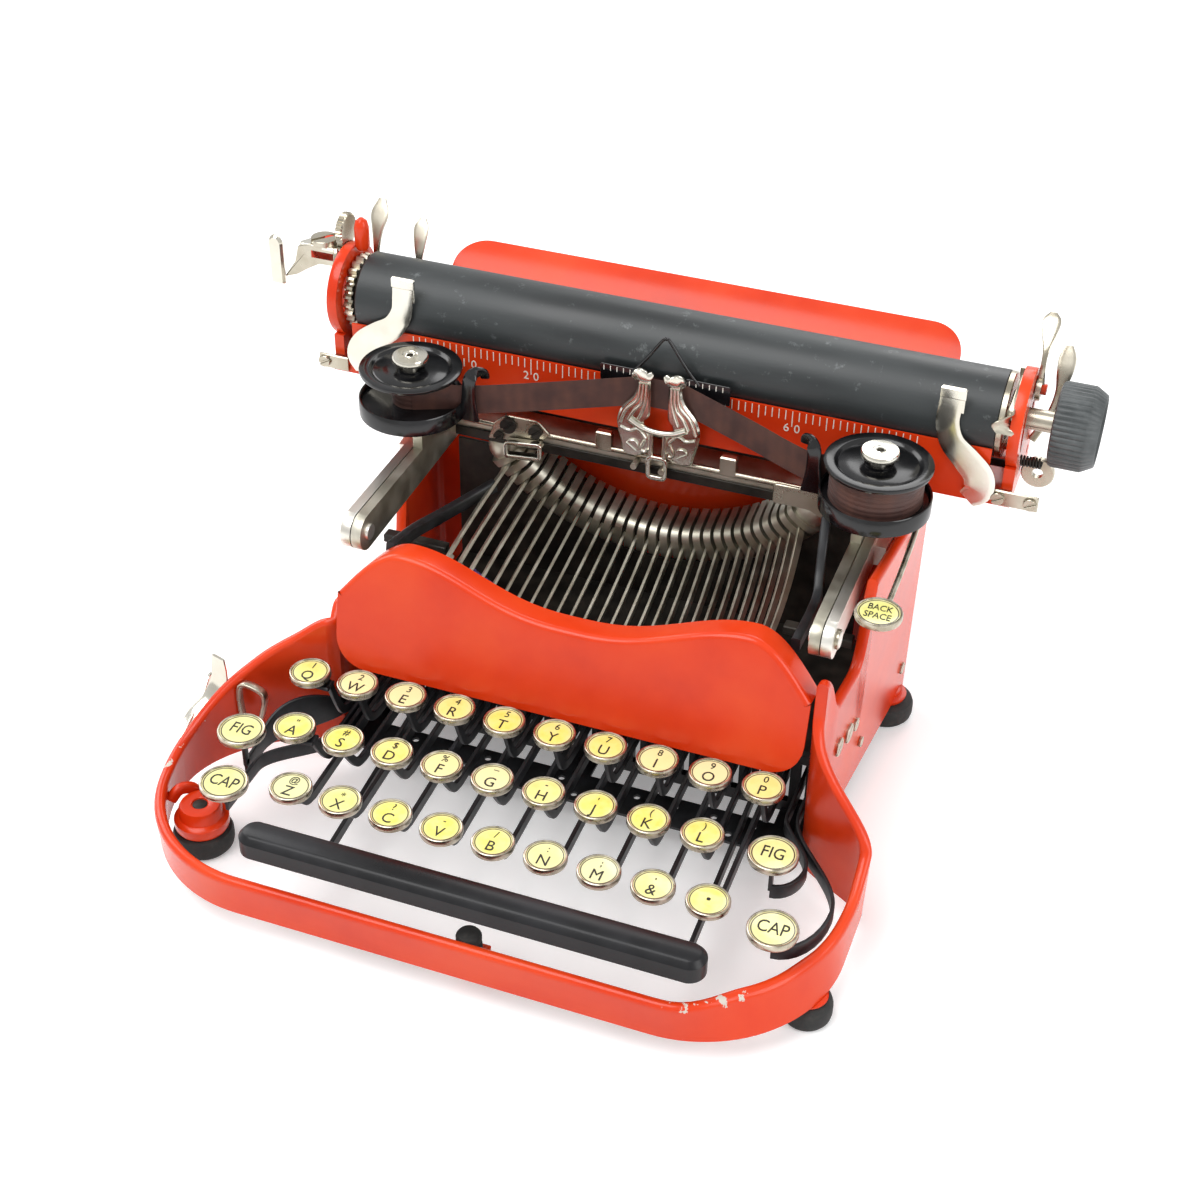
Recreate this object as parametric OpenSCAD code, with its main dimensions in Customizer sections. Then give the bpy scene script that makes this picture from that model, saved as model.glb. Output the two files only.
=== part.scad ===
// Folding three-bank typewriter: base with keyboard, and a carriage that swings forward over the keys.
// Origin on the ground under the middle of the whole machine, +X right, +Y rear, +Z up, millimetres.
// The modules are drawn with the origin under the middle of the base, and place() moves them.

/* [Keyboard] */
// Distance between neighbouring keys of one row
key_pitch = 19.05; // [18.5:0.05:19.6]
// Distance from one row of keys to the next
row_gap = 22.5; // [21.5:0.5:23]
// Step down from one row of keys to the next
row_drop = 6.8; // [6:0.2:7.5]
// Centre of the rearmost row of keys
top_row_y = -25; // [-26:0.5:-24]
// Height of the rearmost row of keys
top_row_z = 54; // [53:0.5:56]
// Centre of the leftmost key of the rearmost row
first_key_x = -93.5; // [-93.5:0.25:-92]
// Radius of a letter key
key_r = 7.6; // [7:0.1:8]
// Radius of a shift key
shift_key_r = 8.7; // [8:0.1:9]
// Radius of the backspace key
back_key_r = 8.2; // [7.5:0.1:8.5]
// Height of a key's metal ring
ring_h = 4.5; // [4:0.25:5]
// Thickness of a key lever
lever_t = 1.6; // [1.2:0.1:1.8]
// Half height of a key lever
lever_half = 2.5; // [2:0.25:2.75]
// Centre of the rod that the key levers turn on
rod_y = 55; // [53:0.5:56]
// Height of the rod that the key levers turn on
rod_z = 28; // [27:0.5:29]
// Radius of the key rod
rod_r = 2; // [1.5:0.1:2.5]
// Length of the space bar
bar_l = 166; // [160:1:172]
// Width of the space bar
bar_w = 12; // [10:0.5:13]
// Height of the space bar's top
bar_top_z = 42; // [41:0.5:44]

/* [Base] */
// Half width of the keyboard end of the base, on its right
base_half_w = 118; // [117:0.5:121]
// Half width of the keyboard end of the base, on its left
left_half_w = 136; // [134:0.5:137]
// Front face of the base
base_front_y = -107; // [-109:0.5:-106]
// Rear face of the base
base_rear_y = 106; // [105:0.25:106.5]
// Radius of the base's front corners
corner_r = 52; // [48:1:53]
// Half width of the base at its rear
neck_half_w = 102.5; // [102:0.25:105]
// Half width of the base where it is narrowest, behind the front panel
waist_half_w = 93; // [92.75:0.25:95]
// Wall thickness of the base
wall = 3.5; // [3:0.25:3.75]
// Height of the base's lower edge above the ground
edge_z = 10; // [9:0.5:11]
// Height of the front rim
rim_z = 26; // [25:0.5:28]
// Height of the side standards
standard_z = 101; // [98:0.5:101]
// Radius of a rubber foot
foot_r = 11; // [10:0.5:12]

/* [Fold] */
// Centre of the fold pivot
pivot_y = 7.5; // [7:0.25:9]
// Height of the fold pivot
pivot_z = 97; // [96:0.5:98]
// Radius of the fold pins
pivot_r = 3; // [2.5:0.1:3.5]
// Thickness of one fold arm plate
arm_t = 3.8; // [3:0.1:4]
// Inner face of the swinging arms
arm_x = 83; // [82.5:0.25:83.5]
// Radius of the arms' rounded front ends
arm_r = 7; // [6:0.25:7.2]

/* [Ribbon] */
// Distance of the spools from the middle
spool_x = 88.9; // [87:0.5:90]
// Centre of the spools
spool_y = 60.5; // [59:0.25:60.75]
// Height of the spools' top flange
spool_top_z = 136; // [135:0.5:137]
// Radius of the spools' top flange
spool_r = 19.3; // [18.5:0.1:19.5]
// Width of the ribbon
ribbon_w = 12.4; // [12:0.1:12.7]
// Radius of the ribbon wound on the left spool
left_pack_r = 12; // [8:0.5:17]
// Radius of the ribbon wound on the right spool
right_pack_r = 16.5; // [8:0.5:17]

/* [Carriage] */
// Radius of the platen
platen_r = 15.6; // [15:0.1:15.7]
// Half length of the platen
platen_half = 124; // [120:0.5:124]
// Centre of the platen
platen_y = 98.3; // [98.3:0.1:99]
// Height of the platen's centre
platen_z = 142; // [141.8:0.1:144]
// Gap between the platen and a carriage end plate
end_gap = 5; // [4.75:0.25:8]
// Radius of the platen knob
knob_r = 16.5; // [15:0.25:18]
// Width of the platen knob
knob_w = 17.5; // [15:0.5:19]
// Half width of the paper table
table_half = 102; // [90:1:106]

/* [Type] */
// Distance from the printing point to the typebar pivots
type_reach = 77; // [76:0.5:78]
// Backward lean of the typebar segment, in degrees
type_lean = 10; // [9:0.5:11]
// Half angle of the typebar segment, in degrees
type_half_a = 49; // [46:0.5:50]

/* [Hidden] */
$fn = 48;
// Running clearance on a pin's radius
run = 0.05;
// Gap between pieces that slide past each other
slip = 0.3;
row_count = [10, 9, 9];
row_name = ["key_top_", "key_mid_", "key_low_"];
row_x = [first_key_x, first_key_x + key_pitch / 4, first_key_x + key_pitch * 3 / 4];
type_count = row_count[0] + row_count[1] + row_count[2];

// Where the base narrows from the keyboard to the waist, on its right and on its left
flare_y0 = -30;
flare_left_y0 = base_front_y + corner_r;
flare_y1 = -8;
// Inner half width at the waist
waist_in = waist_half_w - wall;
// Farthest line of a key lever on the left, in each row, to pass the waist
lever_edge = [waist_in - 3.55, waist_in - 8.05, waist_in - 10.3];
// Outer face of the swinging arms, and the fixed arms beside them
arm_out = arm_x + arm_t;
fixed_x = arm_out + 0.4;
fixed_out = fixed_x + arm_t;
// Stem of a key, which leans forward from the front end of its lever
stem_half = 2;
stem_lean = 9;
eye_r = rod_r + 2.5;
lever_fall = 1.6;
// Space bar
bar_mid_x = -2;
bar_y = top_row_y - 2 * row_gap - 25.5;
bar_h = 9;
bar_lever_z = 13;
bar_lever_x = [for (k = [1, 8]) row_x[1] + key_pitch / 4 + k * key_pitch];
// Shift bails, left and right: key places, lever lines at the rod and cross bars
shift_drop = 2.3;
cap_key_x = [-left_half_w + 32.5, base_half_w - 22];
cap_key_y = [-74, -72.5];
cap_out_x = [cap_key_x[0], base_half_w - 7.5];
cap_lever_x = [-(waist_in - 5.8), waist_in - 1.8];
cap_turn = 22;
cap_bend_y = [-26, -14];
cap_bar = [rod_y + 11, rod_z - 9];
fig_key_x = [-left_half_w + 29, base_half_w - 30];
fig_key_y = [-53.5, -46];
fig_out_x = [fig_key_x[0], base_half_w - 24];
fig_lever_x = [-(waist_in - 1.3), waist_in - 5.5];
fig_turn = 12;
fig_bend_y = [-14, -20];
fig_bar = [rod_y + 21, rod_z + 6];
strap_t = 1.4;
strap_low = 24;
strap_high = 30;
// Front panel
panel_low_y = -13.4;
panel_low_z = 51.6;
panel_lean = 12;
panel_t = 2.5;
panel_half = 88;
panel_dip = 35;
panel_rise = 13.5;
panel_crest_x = 64;
panel_end_h = 29;
panel_corner = 12;
// Segment and typebars
print_y = platen_y - platen_r;
print_z = platen_z - 2;
nose_r = 7;
slot_t = 1.5;
typebar_t = 1;
typebar_l = 60;
rest_r = type_reach + 10;
// Rail of the swinging frame
rail_y0 = 80;
rail_y1 = 92;
rail_z0 = 98;
rail_z1 = 106.5;
cheek_x = 70;
cheek_t = 4;
back_y0 = 119;
back_y1 = 126;
slide_z0 = 92;
// Carriage rail and carriage
web_y0 = base_rear_y + 1.3;
web_y1 = web_y0 + 5.4;
shift_y1 = back_y0 - slip;
track_z0 = rail_z1 + 0.5;
track_z1 = track_z0 + 6.2;
track_half = platen_half + 4;
beam_z0 = track_z1 + slip;
beam_z1 = beam_z0 + 3;
apron_y = print_y + 0.1;
apron_t = 0.8;
apron_top = platen_z - 6.5;
end_x = platen_half + end_gap;
end_t = 4;
end_out = end_x + end_t;
axle_r = 4;
beam_rear_y = 121;
roller_r = 4.5;
roller_z = platen_z - platen_r - roller_r - slip;
release_y = 114;
release_z = 120;
release_r = 2;
lift_pin_y = 106;
lift_pin_z = 150;
finger_y = apron_y - 1.3;
finger_t = 0.8;
spacer_x = -end_out - 7;
spacer_l = 24;
spacer_y = 100;
spacer_z = 157;
// Ribbon feed
cup_r = 20;
flange_t = 1.6;
ribbon_z = spool_top_z - flange_t - ribbon_w - 0.2;
cup_z = ribbon_z - 4.8;
post_x = 63.2;
post_y = 73.3;
guide_y0 = 75.5;
guide_y1 = rail_y0 - 0.4;
// Mainspring drum
drum_x = -track_half + 28;
drum_r = 13;
drum_z = track_z0 + 1 - drum_r - 2 * slip;
// Shift lock
lock_y = -48;
lock_z = 22;
lock_t = 1.5;
lock_w = 10;
lock_pin_r = 1.5;
// Paper table, seen from the side
table_low = [platen_y + platen_r + 3.9, platen_z - 14];
table_high = table_low + [22.5, 22];
table_lip = 3;
// Shift that puts the origin under the middle of the whole machine
knob_x = end_out + 9;
reach_x = [spacer_x - spacer_l, knob_x + knob_w];
reach_y = [base_front_y, table_high.x + table_lip];
machine_shift = -[reach_x[0] + reach_x[1], reach_y[0] + reach_y[1], 0] / 2;
// Backspace key
back_x = 103;
back_y = 14;
back_z = 107.5;
back_pivot = [66, 112.5];

// Moves the machine over its origin
module place() {
    translate(machine_shift) children();
}

// Block between two corners
module block(x0, x1, y0, y1, z0, z1) {
    translate([x0, y0, z0]) cube([x1 - x0, y1 - y0, z1 - z0]);
}

// Round bar along X
module bar_x(x0, x1, y, z, r) {
    translate([x0, y, z]) rotate([0, 90, 0]) cylinder(r = r, h = x1 - x0);
}

// Round bar along Y
module bar_y(x, y0, y1, z, r) {
    translate([x, y1, z]) rotate([90, 0, 0]) cylinder(r = r, h = y1 - y0);
}

// Upright plate: its children are drawn in Y and Z
module side_plate(x0, t) {
    translate([x0, 0, 0]) rotate([90, 0, 90]) linear_extrude(t) children();
}

// Upright plate: its children are drawn in X and Z
module face_plate(y0, t) {
    translate([0, y0 + t, 0]) rotate([90, 0, 0]) linear_extrude(t) children();
}

// Same piece on the left and on the right
module both_sides() {
    children();
    mirror([1, 0, 0]) children();
}

// Ring with a dished top, as on every key
module key_top(x, y, z, r) {
    translate([x, y, z - ring_h]) difference() {
        cylinder(r = r, h = ring_h);
        translate([0, 0, ring_h - 0.8]) cylinder(r = r - 1.1, h = 2);
    }
}

// Eye of a lever on the key rod
module rod_eye(x, t) {
    bar_x(x - t / 2, x + t / 2, rod_y, rod_z, eye_r);
}

// Hole of a lever on the key rod
module rod_hole(x) {
    bar_x(x - 5, x + 5, rod_y, rod_z, rod_r + run);
}

function row_y(r) = top_row_y - r * row_gap;
function row_z(r) = top_row_z - r * row_drop;
function key_x(r, i) = row_x[r] + i * key_pitch;
function lever_z(r) = rod_z + lever_fall - r * 2.8;

function lever_x(r, i) = max(key_x(r, i), -lever_edge[r]);
function line_normal(p, i) =
    let (t = p[min(i + 1, len(p) - 1)] - p[max(i - 1, 0)]) [-t.y, t.x] / norm(t);
function strap_outline(p, h) = concat(
    [for (i = [0:len(p) - 1]) p[i] + h * line_normal(p, i)],
    [for (i = [len(p) - 1:-1:0]) p[i] - h * line_normal(p, i)]);

// Upright lever on the rod, with the stem of the key at y
module key_lever(x, y, foot_z, top_z) {
    front_y = y + stem_lean;
    side_plate(x - lever_t / 2, lever_t) polygon([
        [rod_y, rod_z - lever_half], [front_y, foot_z - lever_half], [front_y - stem_half, foot_z - 1],
        [y - stem_half, top_z], [y + stem_half, top_z],
        [front_y + stem_half, foot_z + lever_half], [rod_y, rod_z + lever_half]]);
    rod_eye(x, lever_t);
}

module letter_key(r, i) {
    x = lever_x(r, i);
    under_z = row_z(r) - ring_h;
    color([0.12, 0.12, 0.12]) difference() {
        union() {
            key_lever(x, row_y(r), lever_z(r), under_z + 1);
            key_top(key_x(r, i), row_y(r), row_z(r), key_r);
            if (x > key_x(r, i))
                block(key_x(r, i) - 2, x + lever_t / 2, row_y(r) - 3, row_y(r) + 3, under_z - 1.5, under_z + 1);
        }
        rod_hole(x);
    }
}

// Outline of the base in plan: right half from the front to the rear, then the left half back again
function corner(side, half, a) =
    [side * (half - corner_r + corner_r * cos(a)), base_front_y + corner_r + corner_r * sin(a)];
base_outline = concat(
    [for (a = [-90:10:0]) corner(1, base_half_w, a)],
    [for (u = [0:0.1:1])
        [waist_half_w + (base_half_w - waist_half_w) * (0.5 + 0.5 * cos(180 * u)),
         flare_y0 + u * (flare_y1 - flare_y0)]],
    [[neck_half_w, base_rear_y], [-neck_half_w, base_rear_y]],
    [for (a = [90:-9:9])
        [-waist_half_w - (left_half_w - waist_half_w) * pow(cos(a), 1.5),
         flare_left_y0 + sin(a) * (flare_y1 - flare_left_y0)]],
    [for (a = [0:-10:-90]) corner(-1, left_half_w, a)]);
function edge_normal(p, i) =
    let (t = p[(i + 1) % len(p)] - p[i % len(p)]) [-t.y, t.x] / norm(t);
function inset(p, d) = [for (i = [0:len(p) - 1])
    let (m = edge_normal(p, i + len(p) - 1), n = edge_normal(p, i)) p[i] + d * (m + n) / (1 + m * n)];

module base_plan(d) {
    polygon(inset(base_outline, d));
}

// Cuts its children off at the inner faces of the base's walls
module inside_base() {
    intersection() {
        children();
        linear_extrude(standard_z + 10) base_plan(wall);
    }
}

// Side view of the base: low rim in front, swept up to the shoulders, notch, standards
sweep_y0 = base_front_y + 40;
sweep_y1 = flare_y1;
shoulder_z = 84;
notch_z = 68;
function sweep_z(u) = rim_z + 9 * u + (shoulder_z - rim_z - 9) * pow(u, 3.5);
module base_side() {
    polygon(concat(
        [[base_front_y - 1, edge_z], [base_front_y - 1, rim_z]],
        [for (u = [0:0.05:1]) [sweep_y0 + u * (sweep_y1 - sweep_y0), sweep_z(u)]],
        [[-3, shoulder_z - 1], [3, notch_z + 8], [10, notch_z + 1], [17, notch_z], [24, notch_z + 1],
         [30, notch_z + 5], [34, notch_z + 12], [37, notch_z + 22], [39, standard_z],
         [base_rear_y + 1, standard_z], [base_rear_y + 1, edge_z]]));
}

// Feet: place, and radius and height of the cup above
feet = [[-left_half_w + 18.5, base_front_y + 37, foot_r - 2, 10], [base_half_w - 10, base_front_y + 37.5, foot_r - 4, 4],
    [-neck_half_w + 5.5, base_rear_y - 13, foot_r - 2, 10], [neck_half_w - 5.5, base_rear_y - 13, foot_r - 2, 10]];
module base_frame() {
    ear_x = panel_half - 10;
    color([0.87, 0.22, 0.11]) difference() {
        union() {
            intersection() {
                linear_extrude(standard_z + 10) difference() {
                    base_plan(0);
                    base_plan(wall);
                }
                side_plate(-left_half_w - 5, left_half_w + base_half_w + 10) base_side();
            }
            for (f = feet) translate([f.x, f.y, edge_z]) cylinder(r = f[2], h = f[3]);
            for (s = [-1, 1]) intersection() {
                panel_place() translate([0, 0, -3]) linear_extrude(3)
                    polygon([[s * ear_x, -6], [s * base_half_w, -6], [s * base_half_w, 28], [s * ear_x, 28]]);
                linear_extrude(standard_z) base_plan(1);
            }
            block(-6, 6, base_front_y + 1, base_front_y + 14, edge_z + 3, edge_z + 7);
            bar_x(-left_half_w - lock_t - 2 * slip, -left_half_w + 3, lock_y, lock_z, lock_pin_r);
        }
        for (f = feet) translate([f.x, f.y, edge_z - 1]) cylinder(r = 2.5, h = 4.5);
    }
}

// Leaning plane of the front panel: children are drawn across and up the panel, towards the front
module panel_place() {
    translate([0, panel_low_y, panel_low_z]) rotate([90 - panel_lean, 0, 0]) children();
}

function panel_top(x) = abs(x) < panel_crest_x
    ? panel_dip + panel_rise * pow(0.5 - 0.5 * cos(180 * abs(x) / panel_crest_x), 1.4)
    : panel_end_h + (panel_dip + panel_rise - panel_end_h)
        * cos(90 * (abs(x) - panel_crest_x) / (panel_half - panel_crest_x));

module front_panel() {
    lip = 10;
    flange_half = panel_half - 4;
    color([0.87, 0.22, 0.11]) panel_place() {
        linear_extrude(panel_t) polygon(concat(
            [for (a = [180:15:270]) [-panel_half + panel_corner + panel_corner * cos(a),
                panel_corner + panel_corner * sin(a)]],
            [for (a = [270:15:360]) [panel_half - panel_corner + panel_corner * cos(a),
                panel_corner + panel_corner * sin(a)]],
            [for (x = [panel_half:-4:-panel_half]) [x, panel_top(x)]]));
        translate([0, 0, -lip]) linear_extrude(lip) polygon(concat(
            [for (x = [-flange_half:4:flange_half]) [x, panel_top(x)]],
            [for (x = [flange_half:-4:-flange_half]) [x, panel_top(x) - panel_t]]));
    }
}

module rubber_feet() {
    bumper_r = 4.5;
    bumper_y = base_front_y + wall + bumper_r + 0.5;
    color([0.1, 0.1, 0.1]) {
        for (f = feet) translate([f.x, f.y, 0]) {
            rotate_extrude() polygon([[0, 0], [foot_r - 1.5, 0], [foot_r, 2],
                [foot_r, edge_z - 2], [foot_r - 2, edge_z], [0, edge_z]]);
            translate([0, 0, edge_z]) cylinder(r = 2.4, h = 3);
        }
        translate([0, bumper_y, edge_z + 7]) cylinder(r = bumper_r, h = 8);
    }
}

// Frame of the type basket: Z points forward along the typebars, the arc opens upward
module type_place() {
    translate([0, print_y, print_z]) rotate([90 + type_lean, 0, 0]) children();
}

function type_a(i) = -90 - type_half_a + i * 2 * type_half_a / (type_count - 1);

module typebar_segment() {
    over_a = 3;
    ear_x = 50;
    color([0.6, 0.58, 0.53]) difference() {
        union() {
            type_place() rotate([0, 0, -90 - type_half_a - over_a])
                rotate_extrude(angle = 2 * (type_half_a + over_a)) {
                    translate([type_reach - nose_r, -4]) square([2 * nose_r, 8]);
                    translate([type_reach, 4]) circle(r = nose_r);
                }
            both_sides() block(ear_x, ear_x + 12, print_y + 9, base_rear_y - wall,
                print_z - 58, print_z - 46);
            block(-12, 12, print_y + 14, base_rear_y - wall, print_z - 80, print_z - 70);
        }
        type_place() for (i = [0:type_count - 1])
            rotate([0, 0, type_a(i)])
                translate([type_reach - 4, -slot_t / 2, -1]) cube([20, slot_t, 20]);
    }
}

// Side outline of one typebar: out of the segment, then forward to its type head
function typebar_r(u) = type_reach + 6.5 * sin(90 * u);
function typebar_a(u) = 2 + typebar_l * u;
module typebars() {
    half = 1.6;
    head_l = 7;
    rest_a = typebar_l - 8;
    ear_z = 76;
    color([0.68, 0.66, 0.6]) type_place() for (i = [0:type_count - 1])
        rotate([0, 0, type_a(i)]) translate([0, typebar_t / 2, 0]) {
            rotate([90, 0, 0]) linear_extrude(typebar_t) polygon(concat(
                [for (u = [0:0.125:1]) [typebar_r(u) - half, typebar_a(u)]],
                [for (u = [1:-0.125:0]) [typebar_r(u) + half, typebar_a(u)]]));
            translate([typebar_r(1) - 4, -typebar_t / 2 - 1, typebar_a(1)])
                cube([6, 2, head_l]);
        }
    color([0.25, 0.2, 0.35]) {
        type_place() translate([0, 0, rest_a]) rotate([0, 0, -90 - type_half_a - 3])
            rotate_extrude(angle = 2 * type_half_a + 6)
                translate([rest_r - 1.5, 0]) square([3, 7]);
        both_sides() inside_base() block(66, base_half_w, 35, 40, ear_z - 4, ear_z);
    }
}

// Comb that keeps the key levers apart, its perforated front strip, and the rod that they turn on
module key_guide() {
    comb_y = 10;
    comb_t = 3;
    comb_z0 = edge_z + 2;
    slot_z0 = rod_z - 11;
    slot_z1 = rod_z + 8;
    slot_w = lever_t + 1;
    strip_half = waist_in - 0.5;
    strip_y0 = comb_y - 24;
    strip_w = 15;
    strip_t = 1.2;
    hole_n = 24;
    module lever_slot(x, w, z0) {
        block(x - w / 2, x + w / 2, comb_y - 1, comb_y + comb_t + 1, z0, slot_z1);
    }
    color([0.15, 0.15, 0.15]) {
        difference() {
            inside_base() block(-base_half_w, base_half_w, comb_y, comb_y + comb_t, comb_z0, slot_z1 + 4);
            for (r = [0:2]) for (i = [0:row_count[r] - 1])
                lever_slot(lever_x(r, i), slot_w, slot_z0);
            for (x = bar_lever_x) lever_slot(x, slot_w, comb_z0 + 1.5);
            for (x = concat(cap_lever_x, fig_lever_x)) lever_slot(x, strap_t + 1, slot_z0);
        }
        difference() {
            union() {
                block(-strip_half, strip_half, strip_y0, strip_y0 + strip_w, comb_z0, comb_z0 + strip_t);
                for (x = [-strip_half, -6, strip_half - 12])
                    block(x, x + 12, strip_y0, comb_y + 1, comb_z0, comb_z0 + strip_t);
            }
            for (i = [0:hole_n - 1])
                translate([(i + 0.5) * 2 * strip_half / hole_n - strip_half,
                    strip_y0 + strip_w * (i % 2 == 0 ? 0.25 : 0.7), comb_z0 - 1]) cylinder(r = 1.3, h = 4);
        }
        inside_base() bar_x(-base_half_w, base_half_w, rod_y, rod_z, rod_r);
    }
}

// Side view of one fold arm
module arm_outline(end_y) {
    union() {
        translate([pivot_y, pivot_z]) circle(r = arm_r);
        polygon([[pivot_y, pivot_z - arm_r], [end_y, pivot_z - arm_r + 2],
            [end_y, pivot_z + arm_r], [pivot_y, pivot_z + arm_r]]);
    }
}

module fold_arms() {
    arm_end_y = 72;
    color([0.8, 0.79, 0.75]) both_sides() {
        side_plate(fixed_x, arm_t) arm_outline(arm_end_y);
        inside_base() block(fixed_out, base_half_w, arm_end_y - 12, arm_end_y, pivot_z - 4, pivot_z + 4);
        bar_x(arm_x - 1, fixed_out + 1.5, pivot_y, pivot_z, pivot_r);
    }
}

module space_bar() {
    foot_z = bar_lever_z;
    color([0.1, 0.1, 0.1]) difference() {
        union() {
            for (x = bar_lever_x) key_lever(x, bar_y, foot_z, bar_top_z - bar_h + 1);
            translate([bar_mid_x, bar_y, bar_top_z - bar_h]) linear_extrude(bar_h) union() {
                square([bar_l - bar_w, bar_w], center = true);
                for (s = [-1, 1]) translate([s * (bar_l - bar_w) / 2, 0]) circle(d = bar_w);
            }
        }
        for (x = bar_lever_x) rod_hole(x);
    }
}

// Centre line of a bent strap lever: out from its key on a quarter round, back, and in to its lever line
function strap_line(key, out, lever, key_y, turn, bend_y) = concat(
    [for (a = [0:15:90]) [key + (out - key) * sin(a), key_y + turn * (1 - cos(a))]],
    [for (u = [0.125:0.125:1])
        [lever + (out - lever) * (0.5 + 0.5 * cos(180 * u)),
         key_y + turn + u * (bend_y - key_y - turn)]],
    [[lever, rod_y]]);

// One strap lever with its key
module shift_side(key, out, lever, turn, bend_y) {
    translate([0, 0, strap_low]) linear_extrude(strap_high - strap_low)
        polygon(strap_outline(strap_line(key.x, out, lever, key.y, turn, bend_y), strap_t / 2));
    block(key.x - strap_t / 2, key.x + strap_t / 2, key.y - stem_half, key.y + stem_half,
        strap_low, key.z - ring_h + 1);
    key_top(key.x, key.y, key.z, shift_key_r);
    rod_eye(lever, strap_t);
}

// Pair of shift keys on one bail
module shift_bail(xs, ys, z, outs, levers, turn, bends, bar) {
    bar_r = 2.5;
    difference() {
        union() {
            for (s = [0, 1]) shift_side([xs[s], ys[s], z], outs[s], levers[s], turn, bends[s]);
            for (x = levers) side_plate(x - strap_t / 2, strap_t) polygon([
                [rod_y, rod_z - 3], [bar[0], bar[1] - bar_r], [bar[0], bar[1] + bar_r],
                [rod_y, rod_z + 3]]);
            bar_x(levers[0] - strap_t / 2, levers[1] + strap_t / 2, bar[0], bar[1], bar_r);
        }
        for (x = levers) rod_hole(x);
    }
}

module cap_shift() {
    color([0.12, 0.12, 0.12]) shift_bail(cap_key_x, cap_key_y, row_z(2) - shift_drop, cap_out_x,
        cap_lever_x, cap_turn, cap_bend_y, cap_bar);
}

module fig_shift() {
    color([0.12, 0.12, 0.12]) shift_bail(fig_key_x, fig_key_y, row_z(1) - shift_drop, fig_out_x,
        fig_lever_x, fig_turn, fig_bend_y, fig_bar);
}

module shift_lock() {
    color([0.8, 0.79, 0.75]) side_plate(-left_half_w - slip - lock_t, lock_t) difference() {
        union() {
            translate([lock_y, lock_z]) circle(r = lock_w / 2);
            polygon([[lock_y, lock_z - 3], [lock_y + 24, lock_z + 8], [lock_y + 31, lock_z + 18],
                [lock_y + 25, lock_z + 22], [lock_y + 18, lock_z + 14], [lock_y, lock_z + 3]]);
        }
        translate([lock_y, lock_z]) circle(r = lock_pin_r + run);
    }
}

module backspace_key() {
    rod_t = 2.4;
    color([0.7, 0.68, 0.62]) difference() {
        union() {
            side_plate(back_x - 4, rod_t) polygon([
                [back_y - 1.2, back_z - ring_h + 1], [back_y - 1.2, back_z - ring_h - 2],
                [back_y + 1.2, back_z - ring_h - 2],
                [back_pivot[0], back_pivot[1] - 1.5], [back_pivot[0], back_pivot[1] + 1.5],
                [back_y + 4, back_z - ring_h + 1]]);
            bar_x(back_x - 4, back_x - 4 + rod_t, back_pivot[0], back_pivot[1], 3.5);
            key_top(back_x, back_y, back_z, back_key_r);
        }
        bar_x(back_x - 6, back_x, back_pivot[0], back_pivot[1], 1.5 + run);
    }
}

module swing_frame() {
    guide_pin_r = 1.2;
    color([0.55, 0.53, 0.48]) difference() {
        union() {
            both_sides() {
                side_plate(arm_x, arm_t) arm_outline(rail_y1);
                block(arm_x, arm_out, spool_y - 5.5, spool_y + 5.5, pivot_z, cup_z);
                block(cheek_x, cheek_x + cheek_t, rail_y0 + 4, back_y1, rail_z1 - 4.5, rail_z1);
            }
            block(-arm_out, arm_out, rail_y0, rail_y1, rail_z0, rail_z1);
            block(-cheek_x - cheek_t, cheek_x + cheek_t, back_y0, back_y1, slide_z0, rail_z1);
            for (x = [-5.5, 5.5]) bar_y(x, guide_y0 - 1, rail_y0 + 1, rail_z0 + 5, guide_pin_r);
            block(arm_out - 1, back_x - 4.4, back_pivot[0] - 3.5, back_pivot[0] + 3.5,
                back_pivot[1] - 3.5, back_pivot[1] + 3.5);
            block(arm_x, arm_out, back_pivot[0] - 6, back_pivot[0] + 4, pivot_z, back_pivot[1] + 3.5);
            bar_x(back_x - 5, back_x, back_pivot[0], back_pivot[1], 1.5);
        }
        both_sides() bar_x(arm_x - 2, arm_out + 1, pivot_y, pivot_z, pivot_r + run);
    }
}

module ribbon_cups() {
    cup_wall = 1.2;
    spindle_r = 2.5;
    color([0.08, 0.08, 0.09]) both_sides() {
        translate([spool_x, spool_y, cup_z]) {
            difference() {
                cylinder(r = cup_r, h = 4.5);
                translate([0, 0, 2]) cylinder(r = cup_r - cup_wall, h = 6);
            }
            cylinder(r = spindle_r, h = spool_top_z - cup_z + 2);
        }
        translate([post_x, post_y, cup_z]) cylinder(r = 2, h = ribbon_w + 6);
        block(post_x, spool_x - 12, post_y - 2, post_y + 1.5, cup_z, cup_z + 2);
    }
}

// Spool with its two flanges, the wound ribbon and the nut on top
module spool(side, pack_r) {
    spool_low = ribbon_z - 1.4;
    bore_r = 2.5 + run;
    translate([side * spool_x, spool_y, 0]) color([0.08, 0.08, 0.09]) difference() {
        union() {
            translate([0, 0, spool_low]) cylinder(r = cup_r - 2, h = 1.2);
            translate([0, 0, spool_low]) cylinder(r = pack_r, h = spool_top_z - spool_low);
            translate([0, 0, spool_top_z - flange_t]) difference() {
                cylinder(r = spool_r, h = flange_t);
                translate([0, 0, flange_t - 0.6]) difference() {
                    cylinder(r = spool_r - 2, h = 1);
                    cylinder(r = 7, h = 1);
                }
            }
            translate([0, 0, spool_top_z - 0.1]) cylinder(r = 3.2, h = 2.6);
            translate([0, 0, spool_top_z + 2]) cylinder(r = 4.6, h = 3);
        }
        translate([0, 0, spool_low - 1]) cylinder(r = bore_r, h = spool_top_z - spool_low + 4);
    }
}

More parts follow.
